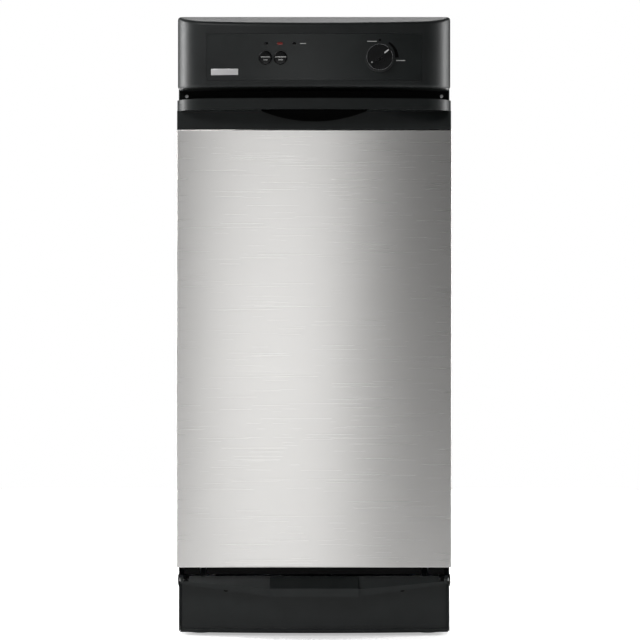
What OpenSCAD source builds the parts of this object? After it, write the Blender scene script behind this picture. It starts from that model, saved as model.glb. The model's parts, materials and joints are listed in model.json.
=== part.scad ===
// Drawer trash compactor, 15 inch undercounter size.
// The frame: origin on the floor, midway across and midway from front to back. +Z is up, -Y is the
// front and +X is the right-hand side as seen from the front. Millimetres.
// Every module below measures y back from the drawer's steel face; place() moves it into the frame.

/* [Overall] */
// Width of the drawer's steel face
front_w = 381; // [380:0.5:383]
// Width across the painted side panels
cab_w = 378; // [378:0.5:379]
// Height from the floor to the console's top
total_h = 861; // [858:1:866]
// Depth from the console's bowed front to the back edges of the side panels
total_d = 618; // [612:1:640]
// How far the knob stands out past the console's bowed front
knob_out = 11; // [8:0.5:14]

/* [Front] */
// How far the console and the handle's lip bow out past the drawer's face
bow = 33; // [30:0.5:34]
// Underside of the console
console_z = 760; // [758:1:762]
// Top of the handle's lip
lip_top = 745; // [743:1:746]
// Underside of the handle's lip
lip_z = 730; // [728:1:731]
// Top edge of the steel face
face_top = 704.6; // [700:0.2:706]
// Bottom edge of the steel face
face_bottom = 97.4; // [95:0.2:100]
// Half the width of the finger pocket under the lip
pocket_half = 73; // [66:1:78]
// Depth of the pocket's crescent below the lip
pocket_drop = 14.5; // [12:0.5:16]

/* [Bin and ram] */
// Top of the bin's rim
bin_top = 520; // [500:1:522]
// Underside of the ram's plate with the ram at the top
ram_z = 535; // [532:1:545]
// How far the ram travels down
ram_stroke = 240; // [200:1:240]
// How far the drawer pulls out
drawer_travel = 370; // [300:1:370]
// Lead of the power screws, for one turn
screw_lead = 5.08; // [4:0.01:8]

/* [Gears and chain] */
// Module of the motor's pinion and the gear it drives
gear_module = 1.75; // [1.6:0.05:1.8]
// Teeth on the motor's pinion
pinion_teeth = 12; // [12:1:14]
// Teeth on the driven gear
gear_teeth = 36; // [34:1:36]
// Pitch of the roller chain
chain_pitch = 6.35; // [6:0.05:6.4]
// Teeth on the small sprocket under the gear
small_sprocket_teeth = 12; // [12:1:14]
// Teeth on the sprocket of each power screw
screw_sprocket_teeth = 14; // [12:1:14]

/* [Hidden] */

eps = 0.05;          // overlap that joins two shapes of one piece
run_gap = 0.05;      // radial clearance of a shaft in its bore
$fn = 64;

// Front to back, from the drawer's face
face_y = -(total_d + knob_out) / 2 + knob_out + bow;
back = total_d - bow;
liner_back = 24;
cab_front = 26;

// Cabinet
sheet = 1.2;
cab_x = cab_w / 2;
cab_in = cab_x - sheet;
panel_bottom = 6;
top_z = total_h - sheet;
back_in = back - 4;
mount_hole_r = 2.6;
mount_hole_y = 40;
mount_hole_z = [120, 690];

// Bowed plan outline: a shallow middle arc and a tighter arc at each end
bow_sag = 8;
bow_mid = 148;
bow_end_y = 6;
bow_r = (bow_mid * bow_mid + bow_sag * bow_sag) / (2 * bow_sag);
bow_a0 = asin(bow_mid / bow_r);

// Console
console_wall = 3;
nose_z = 848;
nose_back = 5;
panel_half = 147.5;
panel_z = [769.8, 833.5];
panel_t = 1.6;
panel_sunk = 0.4;
knob_at = [90, 801];
knob_r = 18.6;
knob_seat_r = 20;
knob_front = -bow - knob_out;
knob_back = 1.4 - bow;
knob_turn = 53;
button_x = [-66.8, -46.2];
button_z = 800.4;
button_r = 9.3;
button_out = 1.4;
lens_x = [-65.6, -27.3];
on_lens_x = -46.8;
lens_z = 819.8;
badge_x = [-141.7, -104];
badge_z = [777, 785.7];
board_y = -6;

// Base and toe space
pan_z = 44;
pan_t = 2;
pan_top = pan_z + pan_t;
pan_front = 40;
pan_back = 578;
pan_half = 186;
pan_skirt = 12;
kick_half = cab_in - 0.3;
kick_y = 20;
kick_sag = 12;
kick_t = 1.5;
kick_z = [4, 74];
kick_r = (kick_half * kick_half + kick_sag * kick_sag) / (2 * kick_sag);
kick_screw = [123, 64.5];
pedal_pivot = [18, 79];
pedal_pin_r = 2.45;
pedal_half = 61.5;
pedal_t = 2;

// Legs, wheels and rollers
leg_at = [160, 66];
leg_r = 4.8;
wheel_at = [150, 545];
wheel_r = 18;
wheel_w = 14;
axle_r = 3;
rail_z = 86;
rail_x = [138, 150];
front_roller = [139, 68, 12];
rear_roller = [124, 430, 11.5];
roller_w = 10;

// Power screws, ram and bin
screw_x = 165;
screw_y = 240;
screw_r = 9.5;
journal_low_r = 8;
journal_top_r = 7;
frame_x = [153, 184];
frame_half_y = 32;
frame_top = 846;
frame_t = 2;
crosshead_z = 818;
bin_half = 136;
bin_y = [44, 436];
bin_z = 88;
bin_t = 1.5;
door_y = [58, 422];
door_z = [94, 512];
ram_half = 128;
ram_y = [62, 418];
ram_top = 800;
nut_z = 765;
latch_at = [115, 480];

// Drive
sprocket_z = 24;
sprocket_t = 5;
gear_z = 33;
gear_t = 8;
gear_at = [0, 473];
motor_at = [0, gear_at[1] + gear_module * (pinion_teeth + gear_teeth) / 2];
motor_r = 60;
motor_z = [62, 180];
shaft_r = 6;
pressure_angle = 25;

// Route of the wiring loom, from the back of the console to the motor
loom_route = [
    [92, 15.5, 800], [120, 45, 810], [150, 80, 838], [168, 130, 852], [172, 220, 852],
    [172, 320, 852], [172, 420, 846], [170, 500, 815], [166, 545, 740], [158, 560, 620],
    [146, 562, 480], [130, 562, 350], [112, 560, 260], [90, 552, 212], [60, 540, 196], [34, 532, 196]
];
loom_r = 3;
loom_sides = 8;
loom_steps = 5;

module place() translate([0, face_y, 0]) children();

// A box from one corner to the opposite one
module block(low, high) translate(low) cube(high - low);

// A cylinder along X, Y or Z from one coordinate to another
module rod_x(x0, x1, y, z, r) translate([x0, y, z]) rotate([0, 90, 0]) cylinder(r = r, h = x1 - x0);
module rod_y(x, y0, y1, z, r) translate([x, y0, z]) rotate([-90, 0, 0]) cylinder(r = r, h = y1 - y0);
module rod_z(x, y, z0, z1, r) translate([x, y, z0]) cylinder(r = r, h = z1 - z0);

// A profile drawn in Y and Z, stretched from one X to another
module along_x(x0, x1) translate([x0, 0, 0]) rotate([90, 0, 90]) linear_extrude(x1 - x0) children();

// The same shape on the left and on the right
module both_sides() {
    children();
    mirror([1, 0, 0]) children();
}
module on_side(side) {
    if (side > 0) children();
    else mirror([1, 0, 0]) children();
}

// Points of the bowed front, set in from the surface by inset, left end first
function bow_end_angle(half) = 2 * atan((bow - bow_sag + bow_end_y) / (half - bow_mid)) - bow_a0;
function bow_end_r(half) = (half - bow_mid) / (sin(bow_end_angle(half)) - sin(bow_a0));
function bow_point(half, inset, a) =
    abs(a) <= bow_a0
        ? [(bow_r - inset) * sin(a), bow_r - bow - (bow_r - inset) * cos(a)]
        : let (r = bow_end_r(half), s = sign(a))
          [
              s * (bow_mid - r * sin(bow_a0) + (r - inset) * sin(abs(a))),
              bow_sag - bow + r * cos(bow_a0) - (r - inset) * cos(abs(a))
          ];
function bow_angles(half) = let (a1 = bow_end_angle(half), n = 10) concat(
    [for (i = [0:n]) -a1 + (a1 - bow_a0) * i / n],
    [for (i = [1:2 * n - 1]) -bow_a0 + bow_a0 * i / n],
    [for (i = [0:n]) bow_a0 + (a1 - bow_a0) * i / n]
);
module bow_plan(half, inset, back_y)
    polygon(concat(
        [[-half + inset, back_y]],
        [for (a = bow_angles(half)) bow_point(half, inset, a)],
        [[half - inset, back_y]]
    ));

// A curved slab that follows the bow between two depths under its surface
module bow_slab(half, in0, in1, x, z)
    intersection() {
        translate([0, 0, z[0]]) linear_extrude(z[1] - z[0]) difference() {
            bow_plan(half, in0, bow_end_y);
            bow_plan(half, in1, bow_end_y + 1);
        }
        block([x[0], -bow - 5, z[0]], [x[1], bow_end_y, z[1]]);
    }

// Depth of the bow's middle arc at a given x
function bow_at(x) = bow_r - bow - sqrt(bow_r * bow_r - x * x);
function kick_at(x) = kick_y + kick_r - sqrt(kick_r * kick_r - x * x);

// ---------------------------------------------------------------- cabinet

module side_panel(side) color("#17181a") on_side(side) difference() {
    union() {
        block([cab_in, cab_front, panel_bottom], [cab_x, back, top_z - 0.1]);
        block([cab_in - 12, cab_front, 94], [cab_in + eps, cab_front + sheet, lip_top - 4]);
        block([cab_in - 12, back_in, panel_bottom], [cab_in + eps, back_in + sheet, 40]);
        // Ear that carries the pedal's pivot pin
        block([cab_in, pedal_pivot[0] - 8, pedal_pivot[1] - 8],
              [cab_x, cab_front + eps, pedal_pivot[1] + 8]);
    }
    for (z = mount_hole_z) rod_x(cab_in - 1, cab_x + 1, mount_hole_y, z, mount_hole_r);
    rod_x(cab_in - 1, cab_x + 1, pedal_pivot[0], pedal_pivot[1], pedal_pin_r + run_gap);
}

module top_panel() color("#17181a") union() {
    block([-cab_x, cab_front, top_z], [cab_x, back, total_h]);
    both_sides() block([cab_in - 1.6, 60, top_z - 9], [cab_in - 0.4, 560, top_z + eps]);
}

back_hole = [130, 130];
back_screws = [for (x = [-176, 0, 176]) for (z = [60, 330, 600, 846]) [x, z]];
module back_panel() color("#8d9092") difference() {
    block([-cab_in + 0.2, back_in, 46], [cab_in - 0.2, back_in + sheet, top_z - 0.2]);
    rod_y(back_hole[0], back_in - 1, back_in + 3, back_hole[1], 9);
    for (p = back_screws) rod_y(p[0], back_in - 1, back_in + 3, p[1], 2.1);
    // Two banks of cooling slots level with the motor
    for (x = [-95, -20]) for (i = [0:7])
        block([x, back_in - 1, 96 + 14 * i], [x + 60, back_in + 3, 100 + 14 * i]);
}

module panel_screws() color("#b9bcc0") for (p = back_screws) union() {
    rod_y(p[0], back_in - 6, back_in + sheet + eps, p[1], 2);
    translate([p[0], back_in + sheet, p[1]]) rotate([-90, 0, 0]) cylinder(r = 4.2, h = 2.4, $fn = 6);
}

module base_pan() color("#a9adb0") difference() {
    union() {
        block([-pan_half, pan_front, pan_z], [pan_half, pan_back, pan_top]);
        block([-pan_half, pan_front, pan_skirt], [pan_half, pan_front + pan_t, pan_z + eps]);
        block([-pan_half, pan_back - pan_t, pan_skirt], [pan_half, pan_back, pan_z + eps]);
        both_sides() {
            block([pan_half - pan_t, pan_front, pan_skirt], [pan_half, pan_back, pan_z + eps]);
            rod_z(leg_at[0], leg_at[1], 30, pan_z + eps, 10);
            // Nut plates behind the kick plate's screws
            block([kick_screw[0] - 8, pan_front - 1.5, 44], [kick_screw[0] + 8, pan_front + eps, 70]);
        }
        // Stud that the driven gear turns on
        rod_z(gear_at[0], gear_at[1], 20, pan_z + eps, 5);
    }
    both_sides() {
        rod_z(leg_at[0], leg_at[1], 20, 60, leg_r + run_gap);
        rod_z(screw_x, screw_y, 40, 50, 11);
        rod_y(kick_screw[0], 36, 44, kick_screw[1], 2.1);
    }
    rod_z(motor_at[0], motor_at[1], 40, 50, 14);
}

module side_frame(side) color("#a9adb0") on_side(side) union() {
    block([frame_x[1] - frame_t, screw_y - frame_half_y, pan_top],
          [frame_x[1], screw_y + frame_half_y, frame_top]);
    for (y = [screw_y - frame_half_y, screw_y + frame_half_y - frame_t])
        block([frame_x[0], y, pan_top], [frame_x[1], y + frame_t, frame_top]);
    // Foot flanges that bolt to the pan
    for (y = [screw_y - frame_half_y - 22, screw_y + frame_half_y - eps])
        block([frame_x[0], y, pan_top], [frame_x[1], y + 22 + eps, pan_top + 3]);
}

module top_crosshead() color("#a9adb0") difference() {
    union() {
        block([-frame_x[1] + frame_t, screw_y - 30, frame_top - 3],
              [frame_x[1] - frame_t, screw_y + 30, frame_top]);
        for (y = [screw_y - 30, screw_y + 28])
            block([-frame_x[1] + frame_t, y, crosshead_z], [frame_x[1] - frame_t, y + 2, frame_top]);
        both_sides() block([frame_x[0] - 3, screw_y - 30, 828], [frame_x[1] - frame_t, screw_y + 30, 832]);
    }
    both_sides() rod_z(screw_x, screw_y, 820, 836, 11);
}

module front_crossrail() color("#0d0e0f") difference() {
    union() {
        block([-cab_in + 0.2, cab_front, 742], [cab_in - 0.2, cab_front + 1.5, 768]);
        block([-cab_in + 0.2, cab_front, 742], [cab_in - 0.2, cab_front + 20, 743.5]);
        block([-cab_in + 0.2, cab_front, 766.5], [cab_in - 0.2, cab_front + 20, 768]);
    }
    both_sides() rod_y(178, cab_front - 1, cab_front + 4, 753, 2.4);
}

module rail_screws() color("#d0d2d4") both_sides() union() {
    rod_y(178, cab_front - 3.4, cab_front, 753, 5);
    rod_y(178, cab_front - eps, cab_front + 10, 753, 2.2);
}

// ---------------------------------------------------------------- console

module console_side(inset)
    polygon([
        [cab_front + (inset > 0 ? 1 : 0), console_z + inset],
        [-bow - 7, console_z + inset],
        [-bow - 7, nose_z - 7 * (total_h - nose_z) / (bow + nose_back) - 1.05 * inset],
        [nose_back, total_h - 1.05 * inset],
        [cab_front + (inset > 0 ? 1 : 0), total_h - 1.05 * inset]
    ]);

module console_solid(inset) intersection() {
    translate([0, 0, console_z - 1]) linear_extrude(total_h - console_z + 2)
        bow_plan(cab_x, inset, cab_front + (inset > 0 ? 1 : 0));
    along_x(-cab_x - 1, cab_x + 1) console_side(inset);
}

module console_holes() {
    rod_y(knob_at[0], -bow - 5, -10, knob_at[1], 4);
    for (x = button_x) rod_y(x, -bow - 5, -10, button_z, button_r + 0.3);
    for (x = lens_x) stadium(x, -bow - 5, -10, lens_z, 5.9, 3.7);
    stadium(on_lens_x, -bow - 5, -10, lens_z, 8.3, 3.9);
}

// A rounded slot shape along Y, w wide and h tall
module stadium(x, y0, y1, z, w, h) translate([x, y0, z]) rotate([-90, 0, 0]) linear_extrude(y1 - y0)
    union() {
        square([w - h, h], center = true);
        for (s = [-1, 1]) translate([s * (w - h) / 2, 0]) circle(d = h);
    }

module console_housing() color("#1d1f20") difference() {
    console_solid(0);
    console_solid(console_wall);
    bow_slab(cab_x, -2, panel_t + panel_sunk, [-panel_half - 0.3, panel_half + 0.3],
             [panel_z[0] - 0.3, panel_z[1] + 0.3]);
    rod_y(knob_at[0], -bow - 5, -10, knob_at[1], 8);
    console_holes();
}

module console_panel() color("#141617") difference() {
    union() {
        bow_slab(cab_x, panel_sunk, panel_t + panel_sunk - 0.02, [-panel_half, panel_half], panel_z);
        rod_y(knob_at[0], knob_back - 0.3, bow_at(knob_at[0]) + 1.6, knob_at[1], knob_seat_r);
    }
    rod_y(knob_at[0], bow_at(knob_at[0]) + 1.2, 0, knob_at[1], knob_seat_r - 4);
    intersection() {
        bow_slab(cab_x, panel_t + panel_sunk - 0.02, 8, [60, 120], panel_z);
        rod_y(knob_at[0], -bow, 0, knob_at[1], knob_seat_r + 2);
    }
    console_holes();
}

module badge() color("#c9cbcc") bow_slab(cab_x, -0.6, panel_sunk - 0.02, badge_x, badge_z);

module indicator_lenses() color("#050606") for (x = lens_x)
    stadium(x, bow_at(x) - 0.2, bow_at(x) + 5, lens_z, 5.6, 3.4);

module on_lamp_lens() color("#b32018")
    stadium(on_lens_x, bow_at(on_lens_x) - 0.2, bow_at(on_lens_x) + 5, lens_z, 8, 3.6);

module rotary_switch() color("#2b2d2f") difference() {
    union() {
        block([knob_at[0] - 18, -14, knob_at[1] - 16], [knob_at[0] + 18, 14, knob_at[1] + 16]);
        rod_y(knob_at[0], -22, -14 + eps, knob_at[1], 7);
    }
    rod_y(knob_at[0], -23, -2, knob_at[1], 3 + run_gap);
}

module control_board() color("#1f5136") union() {
    block([-120, board_y, 774], [20, board_y + 1.6, 830]);
    block([-100, board_y + 1.6 - eps, 780], [-60, board_y + 14, 800]);
    block([-40, board_y + 1.6 - eps, 780], [-20, board_y + 12, 790]);
    for (x = button_x) block([x - 3, board_y - 1, button_z - 3], [x + 3, board_y + eps, button_z + 3]);
}

module run_knob() color("#0a0b0b") union() {
    rod_y(knob_at[0], knob_back - 3.6, knob_back - 0.5, knob_at[1], knob_r);
    rod_y(knob_at[0], knob_back - 5.6, knob_back - 3.6 + eps, knob_at[1], knob_r - 1.6);
    translate([knob_at[0], 0, knob_at[1]]) rotate([0, knob_turn, 0])
        block([-2.6, knob_front, -17], [2.6, knob_back - 5, 17]);
    rod_y(knob_at[0], knob_back - 1, -3, knob_at[1], 3);
}

module push_button(i) color("#0d0e0f") union() {
    rod_y(button_x[i], bow_at(button_x[i]) - button_out, bow_at(button_x[i]) + 6, button_z, button_r);
    rod_y(button_x[i], bow_at(button_x[i]) + 6 - eps, board_y - 2.6, button_z, 3);
}

// ---------------------------------------------------------------- toe space

module kick_arc(y0, n = 24)
    polygon(concat(
        [for (i = [0:n]) let (a = asin(kick_half / kick_r) * (2 * i / n - 1))
            [kick_r * sin(a), y0 + kick_r - kick_r * cos(a)]],
        [for (i = [n:-1:0]) let (a = asin(kick_half / kick_r) * (2 * i / n - 1))
            [kick_r * sin(a), y0 + kick_t + kick_r - kick_r * cos(a)]]
    ));

module kick_plate() color("#16191a") difference() {
    union() {
        translate([0, 0, kick_z[0]]) linear_extrude(kick_z[1] - kick_z[0]) kick_arc(kick_y);
        translate([0, 0, kick_z[0]]) linear_extrude(5) kick_arc(kick_y - 1.4);
        both_sides() {
            block([kick_half - kick_t, kick_y + kick_sag, kick_z[0]],
                  [kick_half, pan_front - 0.2, kick_z[1]]);
            rod_y(kick_screw[0], kick_at(kick_screw[0]) + 0.5, pan_front - 1.6, kick_screw[1], 5);
        }
    }
    both_sides() rod_y(kick_screw[0], kick_y, pan_front + 1, kick_screw[1], 2.1);
}

module kick_plate_screws() color("#0a0a0b") both_sides() union() {
    rod_y(kick_screw[0], kick_at(kick_screw[0]) - 2.3, kick_at(kick_screw[0]) - 0.3, kick_screw[1], 3.6);
    rod_y(kick_screw[0], kick_at(kick_screw[0]) - 0.4, pan_front + 8, kick_screw[1], 2);
}

module pedal_pivot_pins() color("#c4c6c8") both_sides() union() {
    rod_x(cab_x, cab_x + 1.4, pedal_pivot[0], pedal_pivot[1], 6.5);
    rod_x(175, cab_x + eps, pedal_pivot[0], pedal_pivot[1], pedal_pin_r);
}

// Torsion springs wound round the pins, drawn as close coils
module pedal_springs() color("#9a9da0") both_sides()
    translate([175.5, pedal_pivot[0], pedal_pivot[1]]) rotate([0, 90, 0]) difference() {
        union() for (i = [0:3]) translate([0, 0, 0.2 + 1.5 * i]) {
            cylinder(r1 = 3.9, r2 = 4.6, h = 0.75);
            translate([0, 0, 0.75 - 0.001]) cylinder(r1 = 4.6, r2 = 3.9, h = 0.752);
        }
        translate([0, 0, -1]) cylinder(r = 3.1, h = 9);
    }

// One thin slice of a wing of the pedal at x, as four corners in Y and Z
module wing_slice(x, points) along_x(x, x + 0.1) polygon(points);

module pedal_wing() {
    // Sloped top
    hull() {
        wing_slice(pedal_half - 1, [[17, 84], [8, 66], [10, 65.5], [18.8, 83]]);
        wing_slice(183, [[17, 84], [13.5, 77], [15.5, 76.5], [18.8, 83]]);
    }
    // Front lip
    hull() {
        wing_slice(pedal_half - 1, [[8, 66.2], [8, 56.6], [10, 56.6], [10, 66.2]]);
        wing_slice(183, [[13.5, 77.2], [13.5, 72.7], [15.5, 72.7], [15.5, 77.2]]);
    }
}

module foot_pedal() color("#191c1d") difference() {
    union() {
        // Tread, with its front lip
        along_x(-pedal_half, pedal_half)
            polygon([[17, 84], [0, 68.3], [0, 56.6], [pedal_t, 56.6], [pedal_t, 67.3], [18.8, 83]]);
        both_sides() {
            along_x(pedal_half - pedal_t, pedal_half)
                polygon([[0, 56.6], [0, 68.3], [17, 84], [18.8, 83], [15, 72], [9, 60], [6, 56.6]]);
            pedal_wing();
            // Ear on the pivot pin, and the arm that pushes on the back of the drawer front
            rod_x(182, 186, pedal_pivot[0], pedal_pivot[1], 6.4);
            along_x(151.5, 158)
                polygon([[16, 82.5], [17, 80], [21, 77.5], [38, 91], [38.5, 104], [35.5, 104], [35, 93],
                         [19, 83.5]]);
        }
    }
    both_sides() {
        rod_x(181, 187, pedal_pivot[0], pedal_pivot[1], pedal_pin_r + run_gap);
        // Room for the spring round the pin
        rod_x(174.5, 182, pedal_pivot[0], pedal_pivot[1], 5);
    }
}

// ---------------------------------------------------------------- tracks, rollers, wheels and legs

module drawer_tracks() color("#8f9396") both_sides() union() {
    block([rear_roller[0] - 2, pan_front + 6, pan_top], [137.5, 446, pan_top + 1.5]);
    block([136, pan_front + 6, pan_top], [137.5, 446, 73.5]);
    block([rear_roller[0], pan_front + 6, 72], [137.5, 446, 73.5]);
    block([rear_roller[0], 444, pan_top], [137.5, 446, 73.5]);
}

module roller_brackets() color("#8f9396") both_sides() union() {
    block([rail_x[1] + 0.5, front_roller[1] - 9, pan_top],
          [rail_x[1] + 2.5, front_roller[1] + 9, rail_z - 4]);
    block([rail_x[1] + 0.5, front_roller[1] + 9 - eps, pan_top],
          [rail_x[1] + 2.5, front_roller[1] + 24, pan_top + 12]);
    rod_x(front_roller[0] - 0.8, rail_x[1] + 1, front_roller[1], rail_z - front_roller[2] - 0.2, axle_r);
}

module front_roller_wheel(side) color("#e2e2de") on_side(side) difference() {
    rod_x(front_roller[0], front_roller[0] + roller_w, front_roller[1],
          rail_z - front_roller[2] - 0.2, front_roller[2]);
    rod_x(front_roller[0] - 1, front_roller[0] + roller_w + 1, front_roller[1],
          rail_z - front_roller[2] - 0.2, axle_r + run_gap);
}

rear_axle_z = pan_top + 1.5 + rear_roller[2] + 0.2;
module rear_roller_wheel(side) color("#e2e2de") on_side(side) difference() {
    rod_x(rear_roller[0], rear_roller[0] + roller_w, rear_roller[1], rear_axle_z, rear_roller[2]);
    rod_x(rear_roller[0] - 1, rear_roller[0] + roller_w + 1, rear_roller[1], rear_axle_z, axle_r + run_gap);
}

module wheel_brackets() color("#8f9396") both_sides() union() {
    for (x = [wheel_at[0] - wheel_w / 2 - 3, wheel_at[0] + wheel_w / 2 + 1])
        block([x, wheel_at[1] - 10, 9], [x + 2, wheel_at[1] + 10, pan_z]);
    block([wheel_at[0] - wheel_w / 2 - 3, wheel_at[1] - 10, pan_z - 2],
          [wheel_at[0] + wheel_w / 2 + 3, wheel_at[1] + 10, pan_z]);
    rod_x(wheel_at[0] - wheel_w / 2 - 2, wheel_at[0] + wheel_w / 2 + 2, wheel_at[1], wheel_r, axle_r);
}

module rear_wheel(side) color("#2a2b2c") on_side(side) difference() {
    rod_x(wheel_at[0] - wheel_w / 2, wheel_at[0] + wheel_w / 2, wheel_at[1], wheel_r, wheel_r);
    rod_x(wheel_at[0] - wheel_w, wheel_at[0] + wheel_w, wheel_at[1], wheel_r, axle_r + run_gap);
}

module leveling_leg(side) color("#6c6f71") on_side(side) translate([leg_at[0], leg_at[1], 0]) union() {
    cylinder(r = 15, h = 4);
    translate([0, 0, 4 - eps]) cylinder(r1 = 15, r2 = 9, h = 4);
    translate([0, 0, 8 - 2 * eps]) cylinder(r = 9, h = 7, $fn = 6);
    translate([0, 0, 15 - 3 * eps]) cylinder(r = 7, h = 14.85);
    translate([0, 0, 29]) cylinder(r = leg_r, h = 31);
}

// ---------------------------------------------------------------- drive

// Half the angle that an involute tooth takes up at radius r, thinned by the backlash
backlash_angle = 10.8;
function tooth_half(teeth, r) =
    let (pitch_r = gear_module * teeth / 2, base_r = pitch_r * cos(pressure_angle))
    let (t = r > base_r ? sqrt(r * r / (base_r * base_r) - 1) : 0, tp = tan(pressure_angle))
    (90 - backlash_angle / teeth) / teeth
        - (t * 180 / PI - atan(t)) + (tp * 180 / PI - pressure_angle);
module gear_plan(teeth) {
    pitch_r = gear_module * teeth / 2;
    root = pitch_r - 1.15 * gear_module;
    tip = pitch_r + 0.85 * gear_module;
    steps = 4;
    radii = [for (i = [0:steps]) root + (tip - root) * i / steps];
    polygon([for (k = [0:teeth - 1]) each concat(
        [for (r = radii) let (a = 360 * k / teeth - tooth_half(teeth, r)) [r * cos(a), r * sin(a)]],
        [for (i = [steps:-1:0]) let (r = radii[i], a = 360 * k / teeth + tooth_half(teeth, r))
            [r * cos(a), r * sin(a)]]
    )]);
}

// A sprocket: each tooth's corners as parts of a pitch, round the wheel and outward
tooth_corners = [[-0.36, -0.34], [-0.3, -0.13], [-0.1, 0.27], [0.1, 0.27], [0.3, -0.13], [0.36, -0.34]];
function sprocket_r(teeth) = chain_pitch / (2 * sin(180 / teeth));
module sprocket_plan(teeth) {
    polygon([for (k = [0:teeth - 1]) each [for (p = tooth_corners)
        let (a = 360 * (k + p[0]) / teeth, r = sprocket_r(teeth) + p[1] * chain_pitch)
        [r * cos(a), r * sin(a)]]]);
}

module motor_housing() color("#7b7f83") union() {
    difference() {
        rod_z(motor_at[0], motor_at[1], motor_z[0], motor_z[1], motor_r);
        rod_z(motor_at[0], motor_at[1], motor_z[0] + 9, motor_z[1] - 9, 40);
        rod_z(motor_at[0], motor_at[1], motor_z[0] - 1, motor_z[0] + 12, shaft_r + run_gap);
        rod_z(motor_at[0], motor_at[1], motor_z[1] - 12, motor_z[1] - 4, shaft_r + run_gap);
    }
    for (a = [45:90:315])
        rod_z(motor_at[0] + 50 * cos(a), motor_at[1] + 50 * sin(a), pan_top, motor_z[0] + eps, 7);
    // Start capacitor, strapped on top
    rod_x(-35, 35, motor_at[1] - 8, motor_z[1] + 20, 18);
    block([-12, motor_at[1] - 16, motor_z[1] - eps], [12, motor_at[1], motor_z[1] + 5]);
}

module motor_rotor() color("#b5b8bb") union() {
    rod_z(motor_at[0], motor_at[1], 22, motor_z[1] - 6, shaft_r);
    rod_z(motor_at[0], motor_at[1], motor_z[0] + 16, motor_z[1] - 16, 38);
    translate([motor_at[0], motor_at[1], gear_z]) rotate([0, 0, -90])
        linear_extrude(gear_t) gear_plan(pinion_teeth);
}

module drive_gear() color("#c9b68a") translate([gear_at[0], gear_at[1], 0]) difference() {
    union() {
        // A gap between two teeth faces the pinion
        translate([0, 0, gear_z]) rotate([0, 0, 90 + 180 / gear_teeth])
            linear_extrude(gear_t) gear_plan(gear_teeth);
        translate([0, 0, sprocket_z]) linear_extrude(sprocket_t) sprocket_plan(small_sprocket_teeth);
        translate([0, 0, sprocket_z]) cylinder(r = 9, h = gear_z - sprocket_z + eps);
    }
    translate([0, 0, 10]) cylinder(r = 5 + run_gap, h = 40);
}

// Link plates above and below the sprockets, with the rollers of the front run
module chain_band(inset) hull() {
    for (s = [-1, 1]) translate([s * screw_x, screw_y])
        circle(r = sprocket_r(screw_sprocket_teeth) + inset, $fn = 36);
    translate(gear_at) circle(r = sprocket_r(small_sprocket_teeth) + inset, $fn = 36);
}
module drive_chain() color("#5f6366") union() {
    half = 0.4 * chain_pitch;
    for (z = [sprocket_z - 1.6, sprocket_z + sprocket_t + 0.6])
        translate([0, 0, z]) linear_extrude(1) difference() {
            chain_band(half);
            chain_band(-half);
        }
    rollers = floor(screw_x / chain_pitch) - 4;
    for (i = [-rollers:rollers])
        rod_z(i * chain_pitch, screw_y - sprocket_r(screw_sprocket_teeth),
              sprocket_z - 1, sprocket_z + sprocket_t + 1, chain_pitch / 4);
}

module power_screw(side) color("#9b9ea1") translate([side * screw_x, screw_y, 0]) union() {
    translate([0, 0, 20]) cylinder(r = journal_low_r, h = 32);
    translate([0, 0, 52 - eps]) cylinder(r = screw_r, h = 774 + 2 * eps);
    translate([0, 0, 826]) cylinder(r = journal_top_r, h = 15);
}

module screw_sprocket(side) color("#75797c") translate([side * screw_x, screw_y, 0]) difference() {
    union() {
        translate([0, 0, sprocket_z]) linear_extrude(sprocket_t) sprocket_plan(screw_sprocket_teeth);
        translate([0, 0, sprocket_z]) cylinder(r = 11, h = 16);
    }
    translate([0, 0, 10]) cylinder(r = journal_low_r + run_gap, h = 40);
}

module screw_bearings() color("#c8a24a") both_sides() translate([screw_x, screw_y, 0]) {
    difference() {
        union() {
            translate([0, 0, pan_z - 2]) cylinder(r = 10.95, h = 5);
            translate([0, 0, pan_top]) cylinder(r = 15, h = 4);
        }
        translate([0, 0, 30]) cylinder(r = journal_low_r + run_gap, h = 30);
    }
    difference() {
        union() {
            translate([0, 0, 827.5]) cylinder(r = 10.95, h = 8);
            translate([0, 0, 832]) cylinder(r = 14, h = 5);
        }
        translate([0, 0, 820]) cylinder(r = journal_top_r + run_gap, h = 30);
    }
}

module limit_switches() color("#26282a") union() {
    // At the top of the ram's travel, under the crosshead
    block([60, screw_y - 30, crosshead_z - 15], [88, screw_y - 18, crosshead_z]);
    block([62, screw_y - 27, crosshead_z - 17], [82, screw_y - 21, crosshead_z - 15 + eps]);
    // Beside the drawer, closed by the drawer front
    block([168, 62, 640], [cab_in, 74, 668]);
    block([172, 58, 646], [180, 62 + eps, 650]);
}

module cord_bushing() color("#101112") difference() {
    union() {
        rod_y(back_hole[0], back_in - 9, back_in + 2, back_hole[1], 8.9);
        rod_y(back_hole[0], back_in + sheet, back_in + 4, back_hole[1], 12);
        rod_y(back_hole[0], back_in - 4, back_in, back_hole[1], 11.5);
    }
    rod_y(back_hole[0], back_in - 10, back + 1, back_hole[1], 5.5);
}

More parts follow.
